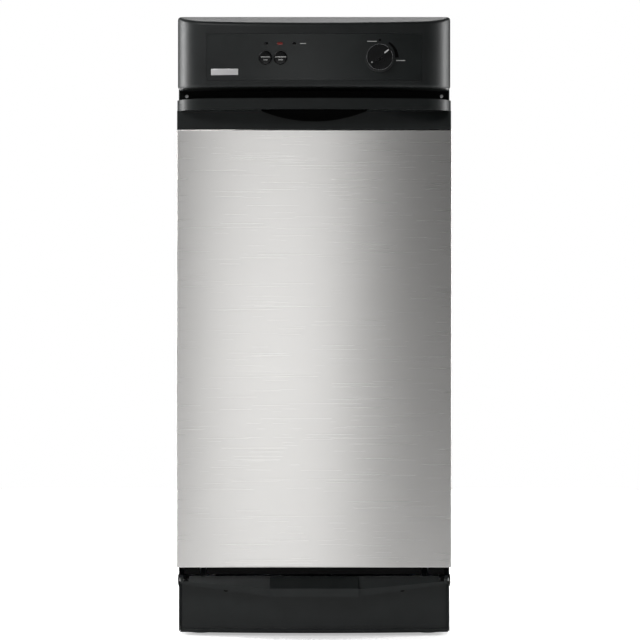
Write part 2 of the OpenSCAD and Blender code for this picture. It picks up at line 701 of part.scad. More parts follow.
// A smooth run through the route's points, and rings of points round it
function spline(p0, p1, p2, p3, t) =
    0.5 * (2 * p1 + (p2 - p0) * t + (2 * p0 - 5 * p1 + 4 * p2 - p3) * t * t
           + (3 * p1 - p0 - 3 * p2 + p3) * t * t * t);
function smooth_route(route, steps) = let (n = len(route) - 1) concat(
    [for (i = [0:n - 1]) for (j = [0:steps - 1])
        spline(route[max(i - 1, 0)], route[i], route[i + 1], route[min(i + 2, n)], j / steps)],
    [route[n]]
);
function unit(v) = v / norm(v);
module tube(line, r, sides) {
    n = len(line) - 1;
    rings = [for (i = [0:n])
        let (d = unit(line[min(i + 1, n)] - line[max(i - 1, 0)]))
        let (u = unit(cross(d, [0.3, 1, 0.2])), v = cross(d, u))
        for (k = [0:sides - 1]) line[i] + r * (cos(360 * k / sides) * u + sin(360 * k / sides) * v)];
    polyhedron(rings, concat(
        [[for (k = [sides - 1:-1:0]) k]],
        [for (i = [0:n - 1]) for (k = [0:sides - 1])
            [i * sides + k, i * sides + (k + 1) % sides,
             (i + 1) * sides + (k + 1) % sides, (i + 1) * sides + k]],
        [[for (k = [0:sides - 1]) n * sides + k]]
    ), convexity = 10);
}
module wiring_harness() color("#1a1a1c") tube(smooth_route(loom_route, loom_steps), loom_r, loom_sides);

// ---------------------------------------------------------------- drawer

front_half = front_w / 2;
module stainless_skin() color("#b7b5b2") difference() {
    block([-front_half, 0, face_bottom], [front_half, 22, face_top]);
    block([-front_half + 1, 1, face_bottom + 1], [front_half - 1, 23, face_top - 1]);
}

module drawer_liner() color("#3a3d3f") difference() {
    block([-front_half + 1.2, 1.2, face_bottom + 1.2], [front_half - 1.2, liner_back, face_top - 1.2]);
    block([-front_half + 3.2, 3, face_bottom + 3.2], [front_half - 3.2, liner_back - 1.5, face_top - 3.2]);
}

trim_half = 189.8;
module handle_trim() color("#1b1e1f") difference() {
    union() {
        block([-trim_half, -1, face_top + 0.2], [trim_half, liner_back, lip_z + eps]);
        translate([0, 0, lip_z]) linear_extrude(lip_top - lip_z) bow_plan(trim_half, 0, liner_back);
    }
    // Crescent scooped out under the lip
    crescent_r = (pocket_half * pocket_half + pocket_drop * pocket_drop) / (2 * pocket_drop);
    intersection() {
        rod_y(0, -3, 16, lip_z - pocket_drop + crescent_r, crescent_r);
        block([-pocket_half, -4, lip_z - pocket_drop - 1], [pocket_half, 17, lip_z + 0.1]);
    }
    // Room for the fingertips up behind the lip
    translate([0, 0, lip_z - 0.1]) linear_extrude(11) intersection() {
        bow_plan(trim_half, 4, 16);
        translate([-pocket_half, -bow]) square([2 * pocket_half, bow + 16]);
    }
}

module drawer_chassis() color("#9ea2a5") union() {
    block([-rail_x[0], 38, rail_z], [rail_x[0], 440, bin_z]);
    both_sides() {
        block([rail_x[0] - eps, liner_back, rail_z], [rail_x[0] + 1.5, 440, rail_z + 14]);
        block([rail_x[0] - eps, liner_back, rail_z], [rail_x[1], 440, rail_z + 1.5]);
        block([rail_x[0] - eps, liner_back, rail_z + 12.5], [rail_x[1], 440, rail_z + 14]);
        // Bracket welded to the drawer front
        block([rail_x[0], liner_back, rail_z], [rail_x[0] + 1.5, liner_back + 10, 260]);
        block([rail_x[0], liner_back, 90], [rail_x[1], liner_back + 1.5, 260]);
        // Tab and axle of the rear roller
        block([rear_roller[0] - 5, rear_roller[1] - 9, rear_axle_z - 6],
              [rear_roller[0] - 2, rear_roller[1] + 9, rail_z + eps]);
        rod_x(rear_roller[0] - 4, rear_roller[0] + roller_w + 0.8, rear_roller[1], rear_axle_z, axle_r);
    }
}

module bin() color("#8a8e91") union() {
    difference() {
        block([-bin_half, bin_y[0], bin_z], [bin_half, bin_y[1], bin_top]);
        block([-bin_half + bin_t, bin_y[0] + bin_t, bin_z + bin_t],
              [bin_half - bin_t, bin_y[1] - bin_t, bin_top + 1]);
        // Side opening, closed by the door that lets a full bag out
        block([bin_half - bin_t - 1, door_y[0], door_z[0]], [bin_half + 1, door_y[1], door_z[1]]);
    }
    // Turned-out rim
    difference() {
        block([-bin_half - 3, bin_y[0] - 3, bin_top - 4], [bin_half + 3, bin_y[1] + 3, bin_top]);
        block([-bin_half + bin_t, bin_y[0] + bin_t, bin_top - 5],
              [bin_half - bin_t, bin_y[1] - bin_t, bin_top + 1]);
    }
    // Pin of the latch lever
    rod_y(latch_at[0], 36, bin_y[0] + eps, latch_at[1], 2.5);
}

module bin_side_door() color("#94989b") union() {
    block([bin_half - bin_t, door_y[0] + 0.4, door_z[0] + 0.4],
          [bin_half, door_y[1] - 0.4, door_z[1] - 0.4]);
    for (z = [170, 280, 390])
        block([bin_half - eps, door_y[0] + 30, z], [bin_half + 1.6, door_y[1] - 30, z + 12]);
}

module bag_buttons() color("#e8e8e4") for (x = [-70, 70]) {
    rod_y(x, bin_y[0] - 7, bin_y[0] - 4, 500, 7);
    rod_y(x, bin_y[0] - 4 - eps, bin_y[0], 500, 4);
    rod_y(x, bin_y[1] + 4, bin_y[1] + 7, 500, 7);
    rod_y(x, bin_y[1], bin_y[1] + 4 + eps, 500, 4);
}

module bin_latch_lever() color("#b3271d") difference() {
    union() {
        rod_y(latch_at[0], 37, 41, latch_at[1], 8);
        block([latch_at[0], 38, latch_at[1] - 4], [latch_at[0] + 18, 40.5, latch_at[1] + 4]);
        block([latch_at[0] - 4, 38, latch_at[1]], [latch_at[0] + 4, 40.5, latch_at[1] + 28]);
        block([latch_at[0] - 7, 35, latch_at[1] + 20], [latch_at[0] + 7, 40.5, latch_at[1] + 28]);
    }
    rod_y(latch_at[0], 35, 43, latch_at[1], 2.5 + run_gap);
}

// ---------------------------------------------------------------- ram

module ram_plate() color("#6f7376")
    block([-ram_half - 4, ram_y[0] - 4, ram_z], [ram_half + 4, ram_y[1] + 4, ram_z + 4]);

// Closed box that carries the plate down into the bin, with an arm to each nut
module ram_box() color("#7c8083") difference() {
    block([-ram_half, ram_y[0], ram_z + 4], [ram_half, ram_y[1], ram_top]);
    block([-ram_half + 2, ram_y[0] + 2, ram_z + 6], [ram_half - 2, ram_y[1] - 2, ram_top - 2]);
}

// Brackets that join the box to the nuts
module ram_arms() color("#7c8083") both_sides()
    block([ram_half, screw_y - 20, nut_z], [screw_x - 15, screw_y + 20, ram_top]);

module ram_nuts() color("#c9b68a") both_sides() difference() {
    block([screw_x - 15, screw_y - 15, nut_z], [screw_x + 14, screw_y + 15, nut_z + 35]);
    rod_z(screw_x, screw_y, nut_z - 1, nut_z + 40, screw_r + run_gap);
}

// ---------------------------------------------------------------- assembly

place() side_panel(-1);  // side_panel_left
place() side_panel(1);  // side_panel_right
place() top_panel();
place() back_panel();
place() panel_screws();
place() base_pan();
place() side_frame(-1);  // side_frame_left
place() side_frame(1);  // side_frame_right
place() top_crosshead();
place() front_crossrail();
place() rail_screws();
place() console_housing();
place() console_panel();
place() badge();
place() indicator_lenses();
place() on_lamp_lens();
place() rotary_switch();
place() control_board();
place() kick_plate();
place() kick_plate_screws();
place() pedal_pivot_pins();
place() pedal_springs();
place() drawer_tracks();
place() roller_brackets();
place() wheel_brackets();
place() motor_housing();
place() drive_chain();
place() screw_bearings();
place() limit_switches();
place() cord_bushing();
place() wiring_harness();
place() stainless_skin();
place() drawer_liner();
place() handle_trim();
place() drawer_chassis();
place() bin();
place() bin_side_door();
place() bag_buttons();
place() bin_latch_lever();
place() front_roller_wheel(-1);  // front_roller_left
place() front_roller_wheel(1);  // front_roller_right
place() rear_roller_wheel(-1);  // rear_roller_left
place() rear_roller_wheel(1);  // rear_roller_right
place() rear_wheel(-1);  // rear_wheel_left
place() rear_wheel(1);  // rear_wheel_right
place() leveling_leg(-1);  // leveling_leg_left
place() leveling_leg(1);  // leveling_leg_right
place() foot_pedal();
place() run_knob();
place() push_button(0);  // button_left
place() push_button(1);  // button_right
place() motor_rotor();
place() drive_gear();
place() power_screw(-1);  // power_screw_left
place() power_screw(1);  // power_screw_right
place() screw_sprocket(-1);  // screw_sprocket_left
place() screw_sprocket(1);  // screw_sprocket_right
place() ram_plate();
place() ram_box();
place() ram_arms();
place() ram_nuts();
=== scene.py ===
import json
import math
import random

import bmesh
import bpy
from mathutils import Matrix, Vector
from mathutils.bvhtree import BVHTree


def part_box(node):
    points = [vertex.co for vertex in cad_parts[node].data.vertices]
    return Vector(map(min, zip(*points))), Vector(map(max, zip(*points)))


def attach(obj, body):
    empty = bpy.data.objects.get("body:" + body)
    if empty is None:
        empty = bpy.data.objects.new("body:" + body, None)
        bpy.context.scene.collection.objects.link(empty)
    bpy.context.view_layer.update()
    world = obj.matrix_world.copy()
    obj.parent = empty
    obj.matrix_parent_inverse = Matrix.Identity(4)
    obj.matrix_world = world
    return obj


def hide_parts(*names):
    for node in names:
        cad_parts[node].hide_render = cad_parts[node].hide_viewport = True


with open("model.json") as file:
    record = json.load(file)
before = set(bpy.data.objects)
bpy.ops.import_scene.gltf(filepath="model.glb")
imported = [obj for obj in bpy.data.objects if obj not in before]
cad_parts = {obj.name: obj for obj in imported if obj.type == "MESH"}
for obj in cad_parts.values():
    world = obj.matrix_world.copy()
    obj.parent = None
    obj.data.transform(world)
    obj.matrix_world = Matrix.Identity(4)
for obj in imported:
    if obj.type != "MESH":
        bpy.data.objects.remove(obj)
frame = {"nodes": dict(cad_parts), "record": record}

bl_info = {
    "name": "Trash compactor",
    "version": (1, 0, 0),
    "blender": (4, 5, 0),
    "location": "3D View > Sidebar > Compactor",
    "description": "Builds the visible pieces of a drawer trash compactor around its frame",
    "category": "Object",
}

MM = 0.001
MERGE = 0.002 * MM
SHARP = math.radians(32)
ROUNDED = math.radians(28)
STEEP = math.radians(60)
FLAT = math.radians(0.25)
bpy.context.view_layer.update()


# ---------------------------------------------------------------- settings

class CompactorFinish(bpy.types.PropertyGroup):
    """Colours and surface values."""

    enamel: bpy.props.FloatVectorProperty(
        name="Cabinet enamel", description="Colour of the cabinet's black enamel",
        subtype="COLOR", size=3, min=0, max=1, default=(0.0085, 0.009, 0.0095))
    moulding: bpy.props.FloatVectorProperty(
        name="Moulding", description="Colour of the console's and the handle's plastic",
        subtype="COLOR", size=3, min=0, max=1, default=(0.0125, 0.0142, 0.0142))
    overlay: bpy.props.FloatVectorProperty(
        name="Panel", description="Colour of the smooth control panel",
        subtype="COLOR", size=3, min=0, max=1, default=(0.0085, 0.0105, 0.0105))
    toe: bpy.props.FloatVectorProperty(
        name="Toe space", description="Colour of the kick plate and the pedal",
        subtype="COLOR", size=3, min=0, max=1, default=(0.0105, 0.0125, 0.0125))
    steel: bpy.props.FloatVectorProperty(
        name="Brushed steel", description="Colour of the drawer's face",
        subtype="COLOR", size=3, min=0, max=1, default=(0.60, 0.592, 0.58))
    steel_roughness: bpy.props.FloatProperty(
        name="Steel roughness", description="Blur of what the drawer's face reflects",
        subtype="FACTOR", min=0, max=1, default=0.28)
    lamp_glow: bpy.props.FloatProperty(
        name="Lamp glow", description="Strength of the lit lamp", min=0, max=20, default=0.06)


class CompactorShape(bpy.types.PropertyGroup):
    """Sizes that only the visible pieces have."""

    sheet_edge: bpy.props.FloatProperty(
        name="Sheet edge", description="Radius on the edges of sheet metal",
        subtype="DISTANCE", unit="LENGTH", min=0, max=0.002, default=0.35 * MM)
    face_edge: bpy.props.FloatProperty(
        name="Face edge", description="Radius that the steel face is folded over",
        subtype="DISTANCE", unit="LENGTH", min=0, max=0.004, default=1.6 * MM)
    console_edge: bpy.props.FloatProperty(
        name="Console edge", description="Radius along the console's top and bottom",
        subtype="DISTANCE", unit="LENGTH", min=0, max=0.006, default=4.5 * MM)
    lip_edge: bpy.props.FloatProperty(
        name="Lip edge", description="Radius along the handle's lip",
        subtype="DISTANCE", unit="LENGTH", min=0, max=0.004, default=2.8 * MM)
    print_height: bpy.props.FloatProperty(
        name="Print height", description="Thickness of the printed marks",
        subtype="DISTANCE", unit="LENGTH", min=0, max=0.0005, default=0.06 * MM)
    thread_depth: bpy.props.FloatProperty(
        name="Thread depth", description="Depth of the power screws' thread",
        subtype="DISTANCE", unit="LENGTH", min=0, max=0.004, default=2.2 * MM)
    screw_lead: bpy.props.FloatProperty(
        name="Screw lead", description="Rise of the power screws' thread for one turn",
        subtype="DISTANCE", unit="LENGTH", min=0.003, max=0.01, default=5.08 * MM)
    chain_pitch: bpy.props.FloatProperty(
        name="Chain pitch", description="Distance between two pins of the chain",
        subtype="DISTANCE", unit="LENGTH", min=0.004, max=0.013, default=6.35 * MM)


# ---------------------------------------------------------------- places

def low(node):
    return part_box(node)[0]


def high(node):
    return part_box(node)[1]


def middle(node):
    return (low(node) + high(node)) / 2


def surface_finder(node):
    """A function that gives the point on a node's front at a given x and z."""
    mesh = frame["nodes"][node].data
    tree = BVHTree.FromPolygons(
        [v.co.copy() for v in mesh.vertices], [list(p.vertices) for p in mesh.polygons])

    def front(x, z):
        point = tree.ray_cast(Vector((x, -1, z)), Vector((0, 1, 0)))[0]
        if point is None:
            raise RuntimeError(f"{node} has no front at {x:.4f}, {z:.4f}")
        return point.y
    return front


# ---------------------------------------------------------------- shader nodes

def principled(name, color, roughness, metallic=0.0, **values):
    """A new material with its uniform values on the shader's own sockets."""
    material = bpy.data.materials.new(name)
    material.use_nodes = True
    shader = material.node_tree.nodes["Principled BSDF"]
    shader.inputs["Base Color"].default_value = (*color, 1)
    shader.inputs["Roughness"].default_value = roughness
    shader.inputs["Metallic"].default_value = metallic
    for label, value in values.items():
        shader.inputs[label.replace("_", " ")].default_value = value
    return material, material.node_tree, shader


def object_place(tree, stretch):
    place = tree.nodes.new("ShaderNodeTexCoord")
    mapping = tree.nodes.new("ShaderNodeMapping")
    mapping.inputs["Scale"].default_value = stretch
    tree.links.new(place.outputs["Object"], mapping.inputs["Vector"])
    return mapping.outputs["Vector"]


def noise(tree, feature, stretch=(1, 1, 1), detail=3.0, roughness=0.5):
    """Noise whose features are about that size in metres."""
    node = tree.nodes.new("ShaderNodeTexNoise")
    node.inputs["Scale"].default_value = 1 / feature
    node.inputs["Detail"].default_value = detail
    node.inputs["Roughness"].default_value = roughness
    tree.links.new(object_place(tree, stretch), node.inputs["Vector"])
    return node.outputs["Fac"]


def cells(tree, feature, output="Color", stretch=(1, 1, 1)):
    node = tree.nodes.new("ShaderNodeTexVoronoi")
    node.inputs["Scale"].default_value = 1 / feature
    tree.links.new(object_place(tree, stretch), node.inputs["Vector"])
    return node.outputs[output]


def remap(tree, value, start, end, source=(0.3, 0.7)):
    node = tree.nodes.new("ShaderNodeMapRange")
    node.inputs["From Min"].default_value = source[0]
    node.inputs["From Max"].default_value = source[1]
    node.inputs["To Min"].default_value = start
    node.inputs["To Max"].default_value = end
    tree.links.new(value, node.inputs["Value"])
    return node.outputs["Result"]


def tint(tree, shader, value, dark, light):
    """Colours the shader between two tones by a value from 0 to 1."""
    node = tree.nodes.new("ShaderNodeMix")
    node.data_type = "RGBA"
    node.inputs["A"].default_value = (*dark, 1)
    node.inputs["B"].default_value = (*light, 1)
    tree.links.new(value, node.inputs["Factor"])
    tree.links.new(node.outputs["Result"], shader.inputs["Base Color"])


def relief(tree, shader, value, depth, strength):
    """Adds bumps of that depth in metres over any that the shader already has."""
    node = tree.nodes.new("ShaderNodeBump")
    node.inputs["Strength"].default_value = strength
    node.inputs["Distance"].default_value = depth
    tree.links.new(value, node.inputs["Height"])
    before = shader.inputs["Normal"]
    if before.is_linked:
        tree.links.new(before.links[0].from_socket, node.inputs["Normal"])
    tree.links.new(node.outputs["Normal"], before)


def worn_edges(tree, value, amount):
    """Adds lighter rubbed edges to a value, by how sharply the surface turns."""
    geometry = tree.nodes.new("ShaderNodeNewGeometry")
    edge = remap(tree, geometry.outputs["Pointiness"], 0, amount, (0.52, 0.6))
    add = tree.nodes.new("ShaderNodeMath")
    add.use_clamp = True
    tree.links.new(value, add.inputs[0])
    tree.links.new(edge, add.inputs[1])
    return add.outputs["Value"]


def weighed(tree, value, weight, other):
    """One value times a weight, plus another value."""
    node = tree.nodes.new("ShaderNodeMath")
    node.operation = "MULTIPLY_ADD"
    node.inputs[1].default_value = weight
    tree.links.new(value, node.inputs[0])
    tree.links.new(other, node.inputs[2])
    return node.outputs["Value"]


def roughen(tree, shader, value, smooth, rough, source=(0.3, 0.7)):
    """Varies the shader's roughness between two values."""
    tree.links.new(remap(tree, value, smooth, rough, source), shader.inputs["Roughness"])


def scaled(color, factor):
    return tuple(min(1, c * factor) for c in color)


# ---------------------------------------------------------------- finishes

def enamel(name, color, peel=2.2 * MM, roughness=0.3):
    """Baked enamel on sheet metal, with a fine orange peel and faint waves in the sheet."""
    material, tree, shader = principled(
        name, color, roughness, Coat_Weight=0.12, Coat_Roughness=0.12, Specular_IOR_Level=0.35)
    mottle = noise(tree, 60 * MM, detail=5)
    tint(tree, shader, worn_edges(tree, remap(tree, mottle, 0, 0.55), 0.3),
         scaled(color, 0.8), scaled(color, 1.5))
    roughen(tree, shader, noise(tree, 30 * MM, detail=2), roughness - 0.01, roughness + 0.02)
    relief(tree, shader, noise(tree, peel, detail=1), 0.05 * MM, 0.5)
    relief(tree, shader, noise(tree, 180 * MM, detail=0), 0.5 * MM, 0.12)
    return material


def moulding(name, color, roughness=0.42, grain=0.9 * MM, depth=0.09 * MM, specular=0.25):
    """Moulded plastic with a leather-like grain."""
    material, tree, shader = principled(name, color, roughness, Specular_IOR_Level=specular)
    pebbles = cells(tree, grain, "Distance")
    fine = noise(tree, 0.5 * grain, detail=2)
    tint(tree, shader, worn_edges(tree, remap(tree, noise(tree, 25 * MM, detail=6), 0.1, 0.6), 0.25),
         scaled(color, 0.85), scaled(color, 1.3))
    roughen(tree, shader, fine, roughness - 0.08, roughness + 0.08)
    relief(tree, shader, pebbles, depth, 0.7)
    relief(tree, shader, fine, 0.4 * depth, 0.6)
    return material


def smooth_plastic(name, color, roughness, **values):
    """Polished plastic with a few faint smears."""
    material, tree, shader = principled(name, color, roughness, **values)
    roughen(tree, shader, noise(tree, 9 * MM, detail=2), roughness - 0.015, roughness + 0.02)
    tint(tree, shader, remap(tree, noise(tree, 30 * MM), 0, 1), scaled(color, 0.9), scaled(color, 1.12))
    relief(tree, shader, noise(tree, 3 * MM, detail=0), 0.004 * MM, 0.2)
    return material


def nylon(name, color):
    material, tree, shader = principled(
        name, color, 0.42, Subsurface_Weight=0.15, Subsurface_Scale=1.5 * MM)
    tint(tree, shader, remap(tree, noise(tree, 6 * MM, detail=5), 0, 1), scaled(color, 0.86), color)
    relief(tree, shader, noise(tree, 0.8 * MM), 0.02 * MM, 0.5)
    return material


def brushed(name, color, roughness, anisotropy):
    """Metal brushed from side to side. The scratches are a fraction of a millimetre wide."""
    stretch = (1 / 110, 1, 1)
    material, tree, shader = principled(
        name, color, roughness, 1.0, Anisotropic=anisotropy, Anisotropic_Rotation=0.25)
    tangent = tree.nodes.new("ShaderNodeTangent")
    tangent.direction_type = "RADIAL"
    tangent.axis = "Z"
    tree.links.new(tangent.outputs["Tangent"], shader.inputs["Tangent"])
    hairs = noise(tree, 0.45 * MM, stretch, detail=4, roughness=0.7)
    bands = noise(tree, 1.3 * MM, stretch, detail=3)
    cloud = noise(tree, 120 * MM, detail=2)
    blend = weighed(tree, hairs, 0.65, remap(tree, bands, 0.1, 0.25, (0, 1)))
    tint(tree, shader, remap(tree, blend, 0, 1, (0.34, 0.66)), scaled(color, 0.98), scaled(color, 1.015))
    roughen(tree, shader, bands, roughness - 0.008, roughness + 0.008)
    relief(tree, shader, hairs, 0.012 * MM, 0.02)
    relief(tree, shader, cloud, 0.6 * MM, 0.12)
    return material


def zinc(name, color):
    """Zinc-coated sheet with its crystal spangle."""
    material, tree, shader = principled(name, color, 0.36, 1.0)
    crystals = cells(tree, 9 * MM)
    split = tree.nodes.new("ShaderNodeSeparateColor")
    tree.links.new(crystals, split.inputs["Color"])
    tone = weighed(tree, split.outputs["Red"], 0.6, remap(tree, noise(tree, 40 * MM, detail=6), 0, 0.4))
    tint(tree, shader, worn_edges(tree, tone, 0.3), scaled(color, 0.72), scaled(color, 1.15))
    roughen(tree, shader, split.outputs["Green"], 0.27, 0.46, (0, 1))
    relief(tree, shader, noise(tree, 1.5 * MM, detail=3), 0.02 * MM, 0.4)
    return material


def cast(name, color, metallic=1.0, roughness=0.45, pits=0.7 * MM):
    """Cast or sintered metal with small pits and a film of oil."""
    material, tree, shader = principled(name, color, roughness, metallic)
    pores = noise(tree, pits, detail=4, roughness=0.65)
    tint(tree, shader, worn_edges(tree, remap(tree, pores, 0, 0.6), 0.5),
         scaled(color, 0.65), scaled(color, 1.35))
    roughen(tree, shader, noise(tree, 7 * MM, detail=4), roughness - 0.14, roughness + 0.1)
    relief(tree, shader, pores, 0.05 * MM, 0.5)
    return material


def turned(name, color, roughness):
    """Turned or plated steel with fine rings round its axis."""
    material, tree, shader = principled(name, color, roughness, 1.0)
    rings = noise(tree, 0.3 * MM, (0.05, 0.05, 1), detail=2)
    tint(tree, shader, remap(tree, noise(tree, 14 * MM, detail=5), 0, 1),
         scaled(color, 0.78), scaled(color, 1.1))
    roughen(tree, shader, rings, roughness - 0.06, roughness + 0.08)
    relief(tree, shader, rings, 0.01 * MM, 0.5)
    return material


def rubber(name, color):
    material, tree, shader = principled(name, color, 0.72, Specular_IOR_Level=0.35)
    dust = remap(tree, noise(tree, 18 * MM, detail=7), 0, 0.7)
    tint(tree, shader, worn_edges(tree, dust, 0.4), color, scaled(color, 2.6))
    relief(tree, shader, noise(tree, 0.6 * MM), 0.05 * MM, 0.6)
    return material


def lit_lens(name, color, glow):
    material, tree, shader = principled(
        name, color, 0.12, Coat_Weight=0.6, Coat_Roughness=0.05,
        Emission_Color=(1.0, 0.07, 0.04, 1), Emission_Strength=glow)
    relief(tree, shader, cells(tree, 0.7 * MM, "Distance"), 0.05 * MM, 0.5)
    return material


def circuit_board(name, color):
    """Green board with lighter copper tracks under its mask."""
    material, tree, shader = principled(name, color, 0.3, Coat_Weight=0.4, Coat_Roughness=0.15)
    tracks = cells(tree, 3.2 * MM, "Distance", (1, 1, 1.6))
    tint(tree, shader, remap(tree, tracks, 1, 0, (0.18, 0.24)), scaled(color, 0.75), scaled(color, 1.9))
    relief(tree, shader, remap(tree, tracks, 1, 0, (0.18, 0.24)), 0.05 * MM, 0.6)
    return material


def finish_makers():
    """One maker for each material slot of the record, for the printed marks and for the painted shade."""
    looks = bpy.context.scene.compactor_finish
    dark = (0.006, 0.0065, 0.007)
    return {
        "cabinet_paint": lambda n: enamel(n, tuple(looks.enamel)),
        "toe_paint": lambda n: moulding(n, tuple(looks.toe), 0.36, 0.7 * MM, 0.04 * MM),
        "console_plastic": lambda n: moulding(n, tuple(looks.moulding)),
        "trim_plastic": lambda n: moulding(n, tuple(looks.moulding), 0.38, 0.8 * MM, 0.05 * MM, 0.15),
        "panel_gloss": lambda n: smooth_plastic(n, tuple(looks.overlay), 0.3),
        "control_black": lambda n: smooth_plastic(n, scaled(dark, 0.45), 0.26, Specular_IOR_Level=0.22),
        "lens_dark": lambda n: smooth_plastic(n, scaled(dark, 0.4), 0.08),
        "latch_red": lambda n: smooth_plastic(n, (0.42, 0.022, 0.014), 0.28),
        "switch_grey": lambda n: moulding(n, (0.028, 0.028, 0.03), 0.45, 1.2 * MM, 0.03 * MM),
        "lens_red": lambda n: lit_lens(n, (0.07, 0.006, 0.005), looks.lamp_glow),
        "badge_metal": lambda n: brushed(n, (0.80, 0.80, 0.80), 0.3, 0.5),
        "stainless": lambda n: brushed(n, tuple(looks.steel), looks.steel_roughness, 0.97),
        "galvanized_steel": lambda n: zinc(n, (0.30, 0.315, 0.33)),
        "rail_steel": lambda n: turned(n, (0.46, 0.47, 0.48), 0.3),
        "screw_steel": lambda n: turned(n, (0.68, 0.68, 0.69), 0.34),
        "rotor_steel": lambda n: turned(n, (0.38, 0.38, 0.39), 0.26),
        "chain_steel": lambda n: cast(n, (0.22, 0.22, 0.23), 1.0, 0.32, 0.5 * MM),
        "gear_iron": lambda n: cast(n, (0.26, 0.25, 0.24)),
        "bronze": lambda n: cast(n, (0.52, 0.36, 0.16), 1.0, 0.34, 0.6 * MM),
        "bin_paint": lambda n: enamel(n, (0.20, 0.205, 0.21), 1.6 * MM, 0.36),
        "ram_paint": lambda n: enamel(n, (0.13, 0.135, 0.14), 1.8 * MM, 0.4),
        "motor_paint": lambda n: enamel(n, (0.05, 0.053, 0.06), 1.4 * MM, 0.38),
        "dark_screw": lambda n: moulding(n, (0.0009, 0.0009, 0.001), 0.5, 0.6 * MM, 0.02 * MM, 0.08),
        "nylon_white": lambda n: nylon(n, (0.66, 0.65, 0.60)),
        "rubber_black": lambda n: rubber(n, (0.013, 0.013, 0.013)),
        "loom_black": lambda n: rubber(n, (0.010, 0.010, 0.011)),
        "board_green": lambda n: circuit_board(n, (0.012, 0.085, 0.035)),
        # Near-black, nearly matt finish laid on recesses and gaps as painted shade
        "painted_shade_black": lambda n: moulding(n, (0.0012, 0.0013, 0.0013), 0.5, 0.8 * MM, 0.05 * MM, 0.08),
        "print_white": lambda n: smooth_plastic(n, (0.55, 0.55, 0.54), 0.5),
        "print_black": lambda n: smooth_plastic(n, (0.0015, 0.0015, 0.0015), 0.1),
    }


def finish_named(slot):
    name = slot + "_finish"
    if name not in bpy.data.materials:
        finish_makers()[slot](name)
    return bpy.data.materials[name]


# ---------------------------------------------------------------- meshes

def circle(radius, steps, x=0.0, y=0.0):
    """Points of a circle, anticlockwise."""
    return [(x + radius * math.cos(2 * math.pi * k / steps),
             y + radius * math.sin(2 * math.pi * k / steps)) for k in range(steps)]


def bridge(bm, a, b):
    """The faces between two loops of verts, either of which may be a single point."""
    faces = []
    for k in range(max(len(a), len(b))):
        corners = dict.fromkeys((a[k % len(a)], a[(k + 1) % len(a)], b[(k + 1) % len(b)], b[k % len(b)]))
        if len(corners) > 2:
            faces.append(bm.faces.new(list(corners)))
    return faces


def mirrored(side):
    """A profile of (radius, height) pairs, and its mirror image above it."""
    return side + [(radius, -height) for radius, height in reversed(side)]


class Shapes:
    """Closed shapes gathered into one mesh, each with its faces outwards."""

    def __init__(self):
        self.bm = bmesh.new()

    def close(self, verts):
        """Turns the faces of a newly added closed shape outwards."""
        faces = {f for v in verts for f in v.link_faces}
        bmesh.ops.recalc_face_normals(self.bm, faces=list(faces))

    def block(self, a, b, edge, segments=2):
        """A box between two corners, with rounded edges."""
        size = [abs(b[i] - a[i]) for i in range(3)]
        centre = [(a[i] + b[i]) / 2 for i in range(3)]
        place = Matrix.Translation(centre) @ Matrix.Diagonal((*size, 1))
        made = bmesh.ops.create_cube(self.bm, size=1, matrix=place)["verts"]
        edges = list({e for v in made for e in v.link_edges})
        bmesh.ops.bevel(
            self.bm, geom=edges, offset=min(edge, 0.45 * min(size)), segments=segments,
            profile=0.5, affect="EDGES", clamp_overlap=True)
        return self

    def lathe(self, profile, place, steps):
        """A solid of revolution round the place's Z, from (radius, height) pairs, bottom first."""
        rings = self.rings(profile, place, steps)
        for a, b in zip(rings, rings[1:]):
            bridge(self.bm, a, b)
        for ring, flip in ((rings[0], True), (rings[-1], False)):
            if len(ring) > 1:
                self.bm.faces.new(ring[::-1] if flip else ring)
        self.close([v for ring in rings for v in ring])
        return self

    def ring(self, profile, place, steps):
        """A closed profile of (radius, height) pairs turned round the place's Z."""
        rings = self.rings(profile, place, steps)
        for a, b in zip(rings, rings[1:] + rings[:1]):
            bridge(self.bm, a, b)
        self.close([v for ring in rings for v in ring])
        return self

    def rings(self, profile, place, steps):
        """A loop of verts for each pair of a profile, or one vert where the radius is nothing."""
        return [[self.bm.verts.new(place @ Vector((x, y, height)))
                 for x, y in (circle(radius, steps) if radius > 0 else [(0, 0)])]
                for radius, height in profile]

    def prism(self, outline, depth, place, edge=0.0):
        """An outline in the place's XY, raised along its Z, with rounded rims."""
        bottom = [self.bm.verts.new(place @ Vector((x, y, 0))) for x, y in outline]
        top = [self.bm.verts.new(place @ Vector((x, y, depth))) for x, y in outline]
        rims = [self.bm.faces.new(bottom[::-1]), self.bm.faces.new(top)]
        bridge(self.bm, bottom, top)
        self.close(bottom + top)
        if edge > 0:
            edges = list({e for f in rims for e in f.edges})
            bmesh.ops.bevel(
                self.bm, geom=edges, offset=edge, segments=2, profile=0.5,
                affect="EDGES", clamp_overlap=True)
        return self

    def object(self, name):
        return plain_object(name, self.bm)


def plain_object(name, bm):
    """A new object of a bmesh, smooth between its sharp edges and flat on its wide faces."""
    mesh = bpy.data.meshes.new(name)
    bm.to_mesh(mesh)
    bm.free()
    return smoothed(name, mesh)


def smoothed(name, mesh):
    mesh.polygons.foreach_set("use_smooth", [True] * len(mesh.polygons))
    mesh.set_sharp_from_angle(angle=SHARP)
    draft = bpy.data.objects.new(name + "_draft", mesh)
    bpy.context.scene.collection.objects.link(draft)
    weigh = draft.modifiers.new("wide faces flat", "WEIGHTED_NORMAL")
    weigh.keep_sharp = True
    return baked(draft, name)


def baked(draft, name):
    """Turns an object with live modifiers into a plain mesh object of that name."""
    graph = bpy.context.evaluated_depsgraph_get()
    graph.update()
    mesh = bpy.data.meshes.new_from_object(draft.evaluated_get(graph), depsgraph=graph)
    bpy.data.objects.remove(draft)
    mesh.name = name
    made = bpy.data.objects.new(name, mesh)
    bpy.context.scene.collection.objects.link(made)
    return made


